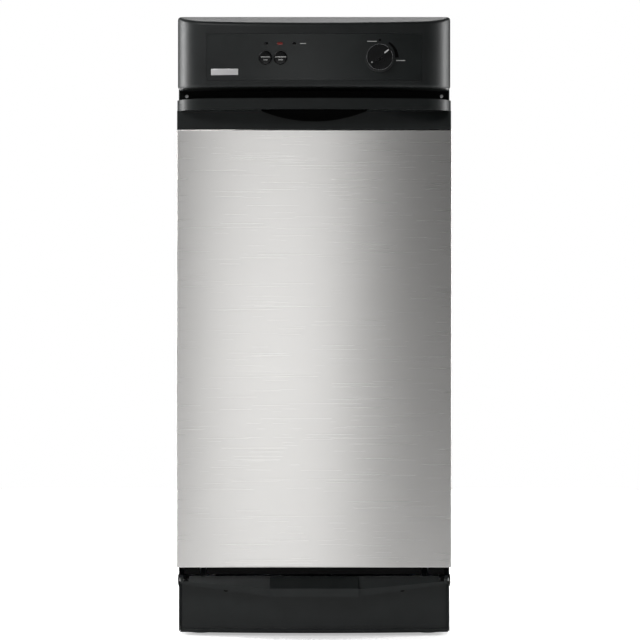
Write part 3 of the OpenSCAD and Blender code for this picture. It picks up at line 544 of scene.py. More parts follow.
def cad_copy(*nodes):
    """The merged copy of CAD nodes' meshes, with the triangles of each flat face joined."""
    bm = bmesh.new()
    for node in nodes:
        bm.from_mesh(frame["nodes"][node].data)
    bmesh.ops.remove_doubles(bm, verts=bm.verts, dist=MERGE)
    bmesh.ops.dissolve_limit(
        bm, angle_limit=FLAT, use_dissolve_boundaries=False, verts=bm.verts, edges=bm.edges)
    return bm


def soften(bm, width, segments, chosen=None):
    """Rounds the sharp edges of a bmesh, or those that the chooser accepts."""
    edges = [
        e for e in bm.edges
        if len(e.link_faces) == 2 and e.calc_face_angle(0) > ROUNDED and (chosen is None or chosen(e))]
    if edges:
        bmesh.ops.bevel(
            bm, geom=edges, offset=width, segments=segments, profile=0.5, affect="EDGES",
            clamp_overlap=True, loop_slide=True)
    return bm


def edge_middle(edge):
    return (edge.verts[0].co + edge.verts[1].co) / 2


def faces_out(edge):
    """True for an edge between a level face and an upright face that looks out of the cabinet."""
    normals = sorted((f.normal for f in edge.link_faces), key=lambda n: abs(n.z))
    upright, level = normals[0], normals[-1]
    outward = upright.x * edge_middle(edge).x * 20 - upright.y
    return abs(level.z) > 0.85 and abs(upright.z) < 0.35 and outward > 0.2


def place_piece(piece, body, slot, *nodes):
    """Gives a piece its finish, its body and the CAD nodes that it stands for."""
    piece.data.materials.clear()
    piece.data.materials.append(finish_named(slot))
    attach(piece, body)
    if nodes:
        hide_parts(*nodes)
    return piece


def paint_shaded(piece):
    """Gives a piece that sits in shade the blackest finish: painted shade."""
    piece.data.materials[0] = finish_named("painted_shade_black")


def body_with(node):
    bodies = frame["record"]["behaviour"]["bodies"]
    return next(body for body, nodes in bodies.items() if node in nodes)


def slot_with(node):
    return next(s["material_slot"] for s in frame["record"]["subparts"] if s["node"] == node)


def softened_node(node, width, segments=2, bm=None):
    """A node's own shape with rounded edges, in its record's finish."""
    bm = soften(bm or cad_copy(node), width, segments)
    return place_piece(plain_object(node + "_piece", bm), body_with(node), slot_with(node), node)


# ---------------------------------------------------------------- geometry nodes

class Tree:
    """A geometry node tree with named inputs that ends in Realize Instances and Set Material."""

    def __init__(self, name, inputs):
        self.tree = bpy.data.node_groups.new(name, "GeometryNodeTree")
        face = self.tree.interface
        face.new_socket("Geometry", in_out="INPUT", socket_type="NodeSocketGeometry")
        for label, kind, value in inputs:
            socket = face.new_socket(label, in_out="INPUT", socket_type="NodeSocket" + kind)
            if value is not None:
                socket.default_value = value
        face.new_socket("Material", in_out="INPUT", socket_type="NodeSocketMaterial")
        face.new_socket("Geometry", in_out="OUTPUT", socket_type="NodeSocketGeometry")
        self.given = self.tree.nodes.new("NodeGroupInput")

    def fill(self, socket, value):
        """Links an input to another node's output, or sets its value."""
        if isinstance(value, bpy.types.NodeSocket):
            self.tree.links.new(value, socket)
        else:
            socket.default_value = value

    def whole_node(self, kind, settings=None, **inputs):
        """Adds a node with its settings and its inputs."""
        made = self.tree.nodes.new(kind)
        for key, value in (settings or {}).items():
            setattr(made, key, value)
        for label, value in inputs.items():
            self.fill(next(s for s in made.inputs if s.enabled and s.name == label.replace("_", " ")), value)
        return made

    def node(self, kind, output=None, settings=None, **inputs):
        """Adds a node and returns its output of that name, or else its first."""
        made = self.whole_node(kind, settings, **inputs)
        return next(s for s in made.outputs if s.enabled and output in (None, s.name))

    def math(self, operation, a, b):
        made = self.tree.nodes.new("ShaderNodeMath")
        made.operation = operation
        for socket, value in zip(made.inputs, (a, b)):
            self.fill(socket, value)
        return made.outputs["Value"]

    def add(self, a, b):
        return self.math("ADD", a, b)

    def times(self, value, factor):
        return self.math("MULTIPLY", value, factor)

    def vector(self, x=0.0, y=0.0, z=0.0):
        return self.node("ShaderNodeCombineXYZ", X=x, Y=y, Z=z)

    def join(self, *parts):
        made = self.tree.nodes.new("GeometryNodeJoinGeometry")
        for part in parts:
            self.tree.links.new(part, made.inputs["Geometry"])
        return made.outputs["Geometry"]

    def moved(self, geometry, shift):
        return self.node("GeometryNodeTransform", Geometry=geometry, Translation=shift)

    def finish(self, geometry):
        """Ends the tree and returns it."""
        real = self.node("GeometryNodeRealizeInstances", Geometry=geometry)
        painted = self.node("GeometryNodeSetMaterial", Geometry=real, Material=self.given.outputs["Material"])
        out = self.tree.nodes.new("NodeGroupOutput")
        self.tree.links.new(painted, out.inputs["Geometry"])
        return self.tree


def grown(name, data, tree, slot, values):
    """What a tree makes of some points or a curve, as a plain smooth object."""
    draft = bpy.data.objects.new(name + "_draft", data)
    bpy.context.scene.collection.objects.link(draft)
    modifier = draft.modifiers.new("build", "NODES")
    modifier.node_group = tree
    for item in tree.interface.items_tree:
        if item.item_type == "SOCKET" and item.in_out == "INPUT" and item.name in values:
            modifier[item.identifier] = values[item.name]
        if item.item_type == "SOCKET" and item.in_out == "INPUT" and item.name == "Material":
            modifier[item.identifier] = finish_named(slot)
    made = baked(draft, name + "_raw")
    mesh = made.data
    bpy.data.objects.remove(made)
    return smoothed(name, mesh)


def points_mesh(points):
    mesh = bpy.data.meshes.new("points")
    mesh.from_pydata([tuple(p) for p in points], [], [])
    return mesh


def line_curve(points, cyclic=False):
    curve = bpy.data.curves.new("route", "CURVE")
    curve.dimensions = "3D"
    spline = curve.splines.new("POLY")
    spline.points.add(len(points) - 1)
    for target, point in zip(spline.points, points):
        target.co = (*point, 1)
    spline.use_cyclic_u = cyclic
    return curve


def screw_tree(hexagonal):
    """Screw heads on points. Their tops look along Z before they are turned."""
    kind = "Hex heads" if hexagonal else "Cross heads"
    tree = Tree(kind, [
        ("Head radius", "Float", 4 * MM), ("Head height", "Float", 2 * MM),
        ("Flange radius", "Float", 5 * MM), ("Flange height", "Float", 0.6 * MM),
        ("Turn", "Vector", None)])
    given = tree.given.outputs
    radius, height = given["Head radius"], given["Head height"]
    head = tree.node("GeometryNodeMeshCylinder", Vertices=6 if hexagonal else 24, Radius=radius, Depth=height)
    head = tree.moved(head, tree.vector(z=tree.add(given["Flange height"], tree.times(height, 0.5))))
    flange = tree.node("GeometryNodeMeshCylinder", Vertices=32,
                       Radius=given["Flange radius"], Depth=given["Flange height"])
    flange = tree.moved(flange, tree.vector(z=tree.times(given["Flange height"], 0.5)))
    top = tree.add(given["Flange height"], height)
    crown = tree.node("GeometryNodeMeshCone", "Mesh", Vertices=24, Radius_Top=tree.times(radius, 0.55),
                      Radius_Bottom=tree.times(radius, 0.86), Depth=tree.times(height, 0.14))
    crown = tree.moved(crown, tree.vector(z=top))
    if hexagonal:
        screw = tree.join(head, flange, crown)
    else:
        arm, width = tree.times(radius, 1.15), tree.times(radius, 0.24)
        bars = [tree.moved(tree.node("GeometryNodeMeshCube", Size=tree.vector(x, y, height)),
                           tree.vector(z=tree.times(top, 1.1))) for x, y in ((arm, width), (width, arm))]
        solid = tree.node("GeometryNodeMeshBoolean", "Mesh", {"operation": "UNION", "solver": "EXACT"},
                          Mesh=tree.join(head, crown))
        cut = tree.node("GeometryNodeMeshBoolean", "Mesh", {"operation": "DIFFERENCE", "solver": "EXACT"},
                        Mesh_1=solid, Mesh_2=tree.join(*bars))
        screw = tree.join(cut, flange)
    return tree.finish(tree.node(
        "GeometryNodeInstanceOnPoints", Points=given["Geometry"], Instance=screw,
        Rotation=tree.node("FunctionNodeEulerToRotation", Euler=given["Turn"])))


def screws(name, points, turn, hexagonal, head, flange):
    """Screw heads at those points, as one plain object. head and flange are (radius, height)."""
    kind = "Hex heads" if hexagonal else "Cross heads"
    tree = bpy.data.node_groups.get(kind) or screw_tree(hexagonal)
    return grown(name, points_mesh(points), tree, "screw_steel", {
        "Head radius": head[0], "Head height": head[1],
        "Flange radius": flange[0], "Flange height": flange[1], "Turn": turn})


def chain_tree():
    """Rollers, pins and pairs of plates along a closed curve that lies level."""
    tree = Tree("Chain links", [
        ("Links", "Int", 150), ("Pitch", "Float", 6.35 * MM), ("Roller width", "Float", 3 * MM),
        ("Plate thickness", "Float", 0.7 * MM)])
    given = tree.given.outputs
    pitch, width, plate_depth = given["Pitch"], given["Roller width"], given["Plate thickness"]
    spots = tree.whole_node("GeometryNodeCurveToPoints", {"mode": "COUNT"},
                            Curve=given["Geometry"], Count=tree.times(given["Links"], 2))
    along = tree.node("FunctionNodeAlignRotationToVector", settings={"axis": "X"},
                      Vector=spots.outputs["Tangent"])
    index = tree.node("GeometryNodeInputIndex")
    quarter = tree.math("MODULO", index, 4)
    roller = tree.node("GeometryNodeMeshCylinder", Vertices=14, Radius=tree.times(pitch, 0.26), Depth=width)
    pin = tree.node("GeometryNodeMeshCylinder", Vertices=10, Radius=tree.times(pitch, 0.13),
                    Depth=tree.add(width, tree.times(plate_depth, 5.2)))
    pieces = [tree.node(
        "GeometryNodeInstanceOnPoints", Points=spots.outputs["Points"], Instance=tree.join(roller, pin),
        Selection=tree.math("LESS_THAN", tree.math("MODULO", index, 2), 0.5))]
    # Inner plates lie on the first of every four spots that has no pin, outer plates on the other.
    for spot, steps in ((1, 0.5), (3, 1.6)):
        waist = tree.node("GeometryNodeMeshCube", Size=tree.vector(
            pitch, tree.times(pitch, 0.46), plate_depth))
        ends = [tree.moved(
            tree.node("GeometryNodeMeshCylinder", Vertices=14, Radius=tree.times(pitch, 0.36),
                      Depth=plate_depth),
            tree.vector(x=tree.times(pitch, side))) for side in (-0.5, 0.5)]
        plate = tree.join(waist, *ends)
        lift = tree.add(tree.times(width, 0.5), tree.times(plate_depth, steps))
        pair = tree.join(tree.moved(plate, tree.vector(z=lift)),
                         tree.moved(plate, tree.vector(z=tree.times(lift, -1))))
        pieces.append(tree.node(
            "GeometryNodeInstanceOnPoints", Points=spots.outputs["Points"],
            Selection=tree.math("COMPARE", quarter, spot), Instance=pair, Rotation=along))
    return tree.finish(tree.join(*pieces))


def coil_tree():
    """A round wire wound into a spring along Z."""
    tree = Tree("Coil", [
        ("Turns", "Float", 4.0), ("Radius", "Float", 4 * MM), ("Height", "Float", 6 * MM),
        ("Wire radius", "Float", 0.7 * MM), ("Turn", "Vector", None)])
    given = tree.given.outputs
    helix = tree.node("GeometryNodeCurveSpiral", Resolution=28, Rotations=given["Turns"],
                      Start_Radius=given["Radius"], End_Radius=given["Radius"], Height=given["Height"])
    wire = tree.node("GeometryNodeCurvePrimitiveCircle", "Curve", Resolution=10,
                     Radius=given["Wire radius"])
    tube = tree.node("GeometryNodeCurveToMesh", Curve=helix, Profile_Curve=wire, Fill_Caps=True)
    return tree.finish(tree.node(
        "GeometryNodeInstanceOnPoints", Points=given["Geometry"], Instance=tube,
        Rotation=tree.node("FunctionNodeEulerToRotation", Euler=given["Turn"])))


def loom_tree():
    """A ribbed sleeve along a curve, with a tie every so often."""
    tree = Tree("Ribbed sleeve", [
        ("Radius", "Float", 2.6 * MM), ("Rib", "Float", 0.35 * MM), ("Rib spacing", "Float", 1.6 * MM),
        ("Tie spacing", "Float", 110 * MM)])
    given = tree.given.outputs
    fine = tree.node("GeometryNodeResampleCurve", Curve=given["Geometry"], settings={"mode": "LENGTH"},
                     Length=given["Rib spacing"])
    wave = tree.math("MODULO", tree.node("GeometryNodeInputIndex"), 2)
    radius = tree.add(given["Radius"], tree.times(wave, given["Rib"]))
    round_profile = tree.node("GeometryNodeCurvePrimitiveCircle", "Curve", Resolution=12, Radius=1.0)
    sleeve = tree.node("GeometryNodeCurveToMesh", Curve=fine, Profile_Curve=round_profile,
                       Scale=radius, Fill_Caps=True)
    spots = tree.whole_node("GeometryNodeCurveToPoints", {"mode": "LENGTH"},
                            Curve=given["Geometry"], Length=given["Tie spacing"])
    band = tree.node("GeometryNodeMeshCylinder", Vertices=20, Depth=3.2 * MM,
                     Radius=tree.add(given["Radius"], tree.times(given["Rib"], 2.2)))
    lock = tree.moved(tree.node("GeometryNodeMeshCube", Size=(3 * MM, 4 * MM, 3.6 * MM)),
                      tree.vector(x=tree.add(given["Radius"], 1.6 * MM)))
    ties = tree.node("GeometryNodeInstanceOnPoints", Points=spots.outputs["Points"],
                     Instance=tree.join(band, lock), Rotation=spots.outputs["Rotation"])
    return tree.finish(tree.join(sleeve, ties))


def louvre_tree():
    """Pressed hoods on points, each over its slot, looking along Y."""
    tree = Tree("Louvres", [
        ("Width", "Float", 60 * MM), ("Height", "Float", 7 * MM), ("Depth", "Float", 2 * MM)])
    given = tree.given.outputs
    arc = tree.node("GeometryNodeCurvePrimitiveCircle", "Curve", Resolution=16, Radius=1.0)
    run = tree.node("GeometryNodeCurvePrimitiveLine", Start=(0, 0, 0), End=tree.vector(x=given["Width"]))
    hood = tree.node("GeometryNodeCurveToMesh", Curve=run, Profile_Curve=arc, Fill_Caps=True)
    hood = tree.node("GeometryNodeTransform", Geometry=hood, Scale=tree.vector(
        1.0, given["Depth"], tree.times(given["Height"], 0.5)))
    return tree.finish(tree.node(
        "GeometryNodeInstanceOnPoints", Points=given["Geometry"], Instance=hood))


# ---------------------------------------------------------------- operators

FACE_Y = low("stainless_skin").y
FACES_FRONT = (math.pi / 2, 0, 0)
FACES_BACK = (-math.pi / 2, 0, 0)


def at(x, back, z):
    """A point from millimetres across, back from the drawer's steel face, and up."""
    return Vector((x * MM, FACE_Y + back * MM, z * MM))


def axis_place(centre, axis):
    """A place at the centre whose Z looks along the axis."""
    return Matrix.Translation(centre) @ Vector(axis).to_track_quat("Z", "Y").to_matrix().to_4x4()


def millimetres(*pairs):
    return [(a * MM, b * MM) for a, b in pairs]


class CompactorStep:
    """What the building operators share."""

    bl_options = {"REGISTER", "UNDO"}

    def execute(self, context):
        self.build(context.scene.compactor_shape)
        return {"FINISHED"}


class COMPACTOR_OT_drawer_front(CompactorStep, bpy.types.Operator):
    """Build the brushed steel face and the liner behind it"""

    bl_idname = "compactor.drawer_front"
    bl_label = "Drawer front"

    def build(self, shape):
        bm = cad_copy("stainless_skin")
        front = low("stainless_skin").y + 0.1 * MM
        soften(bm, shape.face_edge, 4, lambda e: all(v.co.y < front for v in e.verts))
        skin = plain_object("steel_face", bm)
        place_piece(skin, "drawer", "stainless", "stainless_skin")
        softened_node("drawer_liner", 0.5 * MM)
        # Dark strips under the steel face, in the blackest finish, that stand for the shade in the toe gap:
        # painted shade
        shade_strips = Shapes()
        for left, right in ((-181, -159.5), (-150, 150), (159.5, 181)):
            shade_strips.block(at(left, 22, 85.6), at(right, 23.6, 99), 0.5 * MM)
        paint_shaded(place_piece(shade_strips.object("toe_gap_shade"), "drawer", "rubber_black"))


class COMPACTOR_OT_handle(CompactorStep, bpy.types.Operator):
    """Build the handle trim with its bowed lip and finger pocket"""

    bl_idname = "compactor.handle"
    bl_label = "Handle trim"

    def build(self, shape):
        bm = cad_copy("handle_trim")
        soften(bm, shape.lip_edge, 4, faces_out)
        soften(bm, 0.4 * MM, 1, lambda e: e.calc_face_angle(0) > STEEP)
        trim = place_piece(plain_object("handle_lip", bm), "drawer", "trim_plastic", "handle_trim")
        self.shade_pocket(trim.data)

    def shade_pocket(self, mesh):
        """Gives the inside of the finger pocket a darker finish than the trim round it: painted shade in the
        recess.
        """
        mesh.materials.append(finish_named("painted_shade_black"))
        inside = FACE_Y + 0.2 * MM
        for face in mesh.polygons:
            centre = face.center
            if inside < centre.y < FACE_Y + 17 * MM and abs(centre.x) < 75 * MM and centre.z < 742 * MM:
                if face.normal.z > -0.5 and centre.z > 714 * MM or face.normal.y < -0.5:
                    face.material_index = 1


class COMPACTOR_OT_console(CompactorStep, bpy.types.Operator):
    """Build the bowed console, its smooth panel and the badge"""

    bl_idname = "compactor.console"
    bl_label = "Console"

    def build(self, shape):
        bm = cad_copy("console_housing")
        bottom, top = low("console_housing").z, high("console_housing").z
        rim = 20 * MM

        def outer(edge):
            z = edge_middle(edge).z
            return faces_out(edge) and (z < bottom + MM or z > top - rim)
        soften(bm, shape.console_edge, 4, outer)
        soften(bm, 0.4 * MM, 2, lambda e: e.calc_face_angle(0) > STEEP)
        place_piece(plain_object("console_shell", bm), "cabinet", "console_plastic", "console_housing")
        softened_node("console_panel", 0.25 * MM)
        softened_node("badge", 0.4 * MM, 3)


KNOB = middle("run_knob")

# How far the knob's bar is turned from upright at rest, in degrees clockwise
KNOB_TURN = 53

# How far the knob's front is set back, so that the marks on it have room
PRINT_ROOM = 0.1 * MM

# Rows of words on the buttons (height over the middle, width), in millimetres
BUTTON_WORDS = {"button_left": ((0.9, 11.5), (-3.0, 5.0)), "button_right": ((0.9, 14.0), (-3.0, 5.5))}

# Words on the panel (x, z, width, height), in millimetres
PANEL_WORDS = ((-15, 819.8, 8, 0.9), (79.5, 823, 13, 0.9), (119, 797, 12, 1.0))


class Marks:
    """Printed marks that lie on a node's front surface."""

    def __init__(self, node, height):
        self.front = surface_finder(node)
        self.height = height
        self.bm = bmesh.new()

    def patch(self, outline):
        """A thin raised patch from (x, z) points in metres."""
        outer = [self.bm.verts.new((x, self.front(x, z) - self.height, z)) for x, z in outline]
        inner = [self.bm.verts.new((v.co.x, v.co.y + 4 * self.height, v.co.z)) for v in outer]
        faces = [self.bm.faces.new(outer), self.bm.faces.new(inner[::-1])]
        faces += bridge(self.bm, outer, inner)
        bmesh.ops.recalc_face_normals(self.bm, faces=faces)

    def bar(self, x, z, width, height):
        self.patch([(x - width / 2, z - height / 2), (x + width / 2, z - height / 2),
                    (x + width / 2, z + height / 2), (x - width / 2, z + height / 2)])

    def dot(self, x, z, radius):
        self.patch(circle(radius, 20, x, z))

    def arc(self, x, z, inner, outer, start, end):
        """A band round a centre that widens as it goes. Angles run clockwise from the top."""
        steps = 18
        for k in range(steps):
            angles = [math.radians(start + (end - start) * (k + i) / steps) for i in (0, 1)]
            widths = [0.5 + 0.5 * (k + i) / steps for i in (0, 1)]
            mean, half = (inner + outer) / 2, (outer - inner) / 2
            corners = []
            for a, w, side in ((0, 0, -1), (0, 0, 1), (1, 1, 1), (1, 1, -1)):
                radius = mean + side * half * widths[w]
                corners.append((x + radius * math.sin(angles[a]), z + radius * math.cos(angles[a])))
            self.patch(corners)

    def place(self, name, body, slot):
        return place_piece(plain_object(name, self.bm), body, slot)


class COMPACTOR_OT_controls(CompactorStep, bpy.types.Operator):
    """Build the knob, the push buttons, the lamps and the marks printed round them"""

    bl_idname = "compactor.controls"
    bl_label = "Controls"

    def build(self, shape):
        knob = cad_copy("run_knob")
        front = low("run_knob").y
        for vertex in knob.verts:
            vertex.co.y = max(vertex.co.y, front + PRINT_ROOM)
        softened_node("run_knob", 0.7 * MM, 3, knob)
        for node in ("button_left", "button_right"):
            self.button(node)
        for node in ("indicator_lenses", "on_lamp_lens"):
            softened_node(node, 0.5 * MM, 3)
        self.knob_marks(shape)
        self.panel_marks(shape)

    def button(self, node):
        a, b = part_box(node)
        radius = (b.x - a.x) / 2
        place = axis_place(Vector((middle(node).x, b.y, middle(node).z)), (0, -1, 0))
        length = b.y - a.y
        stem, skirt = 3 * MM, length - 8 * MM
        dome = [(0.96 * radius, length - 0.35 * MM), (0.9 * radius, length - 0.18 * MM),
                (0.8 * radius, length - 0.08 * MM), (0.5 * radius, length - 0.02 * MM), (0, length)]
        profile = [(0, 0), (stem, 0), (stem, skirt), (0.99 * radius, skirt),
                   (radius, skirt + 0.4 * MM), (radius, length - 0.8 * MM)] + dome
        cap = Shapes().lathe(profile, place, 64).object(node + "_cap")
        place_piece(cap, body_with(node), "control_black", node)

    def knob_marks(self, shape):
        """A thin steel ring on the knob's rim that stands in for the highlight there (painted highlight), and
        the marks at the two ends of its bar.
        """
        turn = math.radians(KNOB_TURN)
        x, z = KNOB.x, KNOB.z
        front = low("run_knob").y + PRINT_ROOM
        along, ahead = Vector((math.sin(turn), 0, math.cos(turn))), Vector((0, -1, 0))
        marks = Shapes()
        spot = Vector((x, front, z)) + 11.5 * MM * along
        axes = Matrix((along.cross(ahead), along, ahead)).transposed().to_4x4()
        marks.prism(millimetres((-0.9, -3.6), (0.9, -3.6), (0.9, 3.6), (-0.9, 3.6)), shape.print_height,
                    Matrix.Translation(spot) @ axes)
        dot = Vector((x, front, z)) - 13.5 * MM * along
        marks.lathe([(0.8 * MM, 0), (0.8 * MM, shape.print_height)], axis_place(dot, (0, -1, 0)), 16)
        place_piece(marks.object("knob_marks"), "knob", "print_white")
        # Painted highlight: a thin steel ring standing in for the light seen on the knob's rim
        rim = Shapes()
        radius = (high("run_knob").x - low("run_knob").x) / 2
        base = Vector((x, FACE_Y - 35.2 * MM, z))
        rim.ring([(radius - 1.05 * MM, -0.1 * MM), (radius - 0.75 * MM, -0.1 * MM),
                  (radius - 0.75 * MM, 0.1 * MM), (radius - 1.05 * MM, 0.1 * MM)],
                 axis_place(base, (0, -1, 0)), 96)
        place_piece(rim.object("knob_rim_highlight"), "knob", "rail_steel")

    def panel_marks(self, shape):
        """Plain bars where a panel of this kind has its words."""
        ink = random.Random(7)
        for node, rows in BUTTON_WORDS.items():
            centre = middle(node)
            words = Marks(node, shape.print_height)
            for row, width in rows:
                x = -width / 2
                while x < width / 2:
                    step = ink.uniform(0.9, 1.6)
                    words.bar(centre.x + (x + step / 2) * MM, centre.z + row * MM, 0.6 * step * MM, 1.3 * MM)
                    x += step
            words.place(node + "_print", body_with(node), "print_white")
        white = Marks("console_panel", shape.print_height)
        black = Marks("console_panel", shape.print_height)
        for word in PANEL_WORDS:
            white.bar(*(value * MM for value in word))
        black.dot(90.5 * MM, 825 * MM, 1.7 * MM)
        black.arc(KNOB.x, KNOB.z, 21.4 * MM, 26.4 * MM, 32, 90)
        white.place("panel_print", "cabinet", "print_white")
        black.place("panel_arc", "cabinet", "print_black")


class COMPACTOR_OT_cabinet(CompactorStep, bpy.types.Operator):
    """Build the cabinet's panels, its base pan and the frames inside"""

    bl_idname = "compactor.cabinet"
    bl_label = "Cabinet"

    def build(self, shape):
        for node in ("side_panel_left", "side_panel_right", "top_panel", "base_pan",
                     "side_frame_left", "side_frame_right", "top_crosshead"):
            softened_node(node, shape.sheet_edge)
        # The crossrail under the console's overhang takes the blackest finish: painted shade
        paint_shaded(softened_node("front_crossrail", shape.sheet_edge))
        self.back(shape)

    def back(self, shape):
        softened_node("back_panel", 0.25 * MM)
        across = (-95, -20)
        spots = [at(x, 582.15, 103 + 14 * row) for x in across for row in range(8)]
        hoods = grown("back_louvres", points_mesh(spots), louvre_tree(), "galvanized_steel", {
            "Width": 60 * MM, "Height": 5 * MM, "Depth": 2.2 * MM})
        place_piece(hoods, "cabinet", "galvanized_steel")
        beads = Shapes()
        for z in (230, 470, 720):
            beads.block(at(-150, 581.9, z), at(150, 583.3, z + 14), 0.6 * MM)
        place_piece(beads.object("back_beads"), "cabinet", "galvanized_steel")


# Where the front's screws are (distance from the middle, height), in millimetres
SCREW_SPOTS = {"rail_screws": (178, 753), "kick_plate_screws": (123, 64.5)}


class COMPACTOR_OT_screws(CompactorStep, bpy.types.Operator):
    """Build the screw heads on the crossrail, the back and the kick plate"""

    bl_idname = "compactor.screws"
    bl_label = "Screws"

    def build(self, shape):
        self.row("rail_screws", (5, 2.6), (5, 0.5))
        self.row("kick_plate_screws", (3.4, 1.4), (3.6, 0.4))
        spots = [at(x, 582.2, z) for x in (-176, 0, 176) for z in (60, 330, 600, 846)]
        heads = screws("panel_screws_piece", spots, FACES_BACK, True,
                       (3.2 * MM, 1.7 * MM), (4.6 * MM, 0.7 * MM))
        place_piece(heads, "cabinet", "screw_steel", "panel_screws")
        pins = Shapes()
        for side in (-1, 1):
            x = high("pedal_pivot_pins").x
            centre = Vector((side * x, middle("pedal_pivot_pins").y, middle("pedal_pivot_pins").z))
            length = x - 175 * MM
            head = millimetres((0, 0), (5.2, 0), (6.2, 0.35), (6.5, 0.8), (6.5, 1.4), (2.45, 1.4))
            pins.lathe(head + [(2.45 * MM, length - 0.5 * MM), (1.9 * MM, length), (0, length)],
                       axis_place(centre, (-side, 0, 0)), 40)
        place_piece(pins.object("pedal_pins"), "cabinet", "screw_steel", "pedal_pivot_pins")

    def row(self, node, head, flange):
        """A cross-headed screw at each end of a node. Sizes are (radius, height) in millimetres."""
        x, z = SCREW_SPOTS[node]
        base = high(node).y if node == "rail_screws" else low(node).y + (head[1] + flange[1] + 0.3) * MM
        spots = [Vector((side * x * MM, base, z * MM)) for side in (-1, 1)]
        made = screws(node + "_piece", spots, FACES_FRONT, False,
                      (head[0] * MM, head[1] * MM), (flange[0] * MM, flange[1] * MM))
        place_piece(made, "cabinet", slot_with(node), node)


class COMPACTOR_OT_toe_space(CompactorStep, bpy.types.Operator):
    """Build the kick plate, the foot pedal and its springs"""

    bl_idname = "compactor.toe_space"
    bl_label = "Toe space"

    def build(self, shape):
        softened_node("kick_plate", 0.4 * MM)
        softened_node("foot_pedal", 0.6 * MM, 2)
        spring = middle("pedal_springs")
        spot = Vector((175.9 * MM, spring.y, spring.z))
        coils = grown("pedal_coils", points_mesh([spot]), coil_tree(), "dark_screw", {
            "Turns": 4.5, "Radius": 3.75 * MM, "Height": 5.4 * MM, "Wire radius": 0.6 * MM,
            "Turn": (0, math.pi / 2, 0)})
        bm = bmesh.new()
        bm.from_mesh(coils.data)
        other = bm.copy()
        bmesh.ops.scale(other, vec=(-1, 1, 1), verts=other.verts)
        bmesh.ops.reverse_faces(other, faces=other.faces)
        twin = bpy.data.meshes.new("twin")
        other.to_mesh(twin)
        other.free()
        bm.from_mesh(twin)
        bpy.data.objects.remove(coils)
        place_piece(plain_object("pedal_coils", bm), "cabinet", "dark_screw", "pedal_springs")


class COMPACTOR_OT_bin(CompactorStep, bpy.types.Operator):
    """Build the drawer's chassis, the bin, its side door and the latch lever"""

    bl_idname = "compactor.bin"
    bl_label = "Bin and chassis"

    def build(self, shape):
        softened_node("drawer_chassis", shape.sheet_edge)
        softened_node("bin", 0.5 * MM)
        softened_node("bin_side_door", 0.6 * MM)
        softened_node("bin_latch_lever", 0.8 * MM, 3)
        a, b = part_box("bin")
        ribs = Shapes()
        for z in (0.19, 0.30, 0.41):
            ribs.block((-0.115, b.y - 3.1 * MM, z), (0.115, b.y - 0.9 * MM, z + 0.012), 1 * MM, 3)
            ribs.block((a.x + 1 * MM, a.y + 30 * MM, z), (a.x + 3.1 * MM, b.y - 30 * MM, z + 0.012),
                       1 * MM, 3)
        place_piece(ribs.object("bin_ribs"), "drawer", "bin_paint")
        studs = Shapes()
        a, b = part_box("bag_buttons")
        for x in (-70, 70):
            for y, outward in ((a.y + 7 * MM, -1), (b.y - 7 * MM, 1)):
                centre = Vector((x * MM, y, middle("bag_buttons").z))
                studs.lathe(millimetres((0, 0), (4, 0), (4, 4), (6.2, 4.1), (7, 4.7), (7, 6.2), (5.6, 6.8),
                                        (2, 7), (0, 7)), axis_place(centre, (0, outward, 0)), 40)
        place_piece(studs.object("bag_studs"), "drawer", "nylon_white", "bag_buttons")


WHEEL_BORE = 3.05 * MM


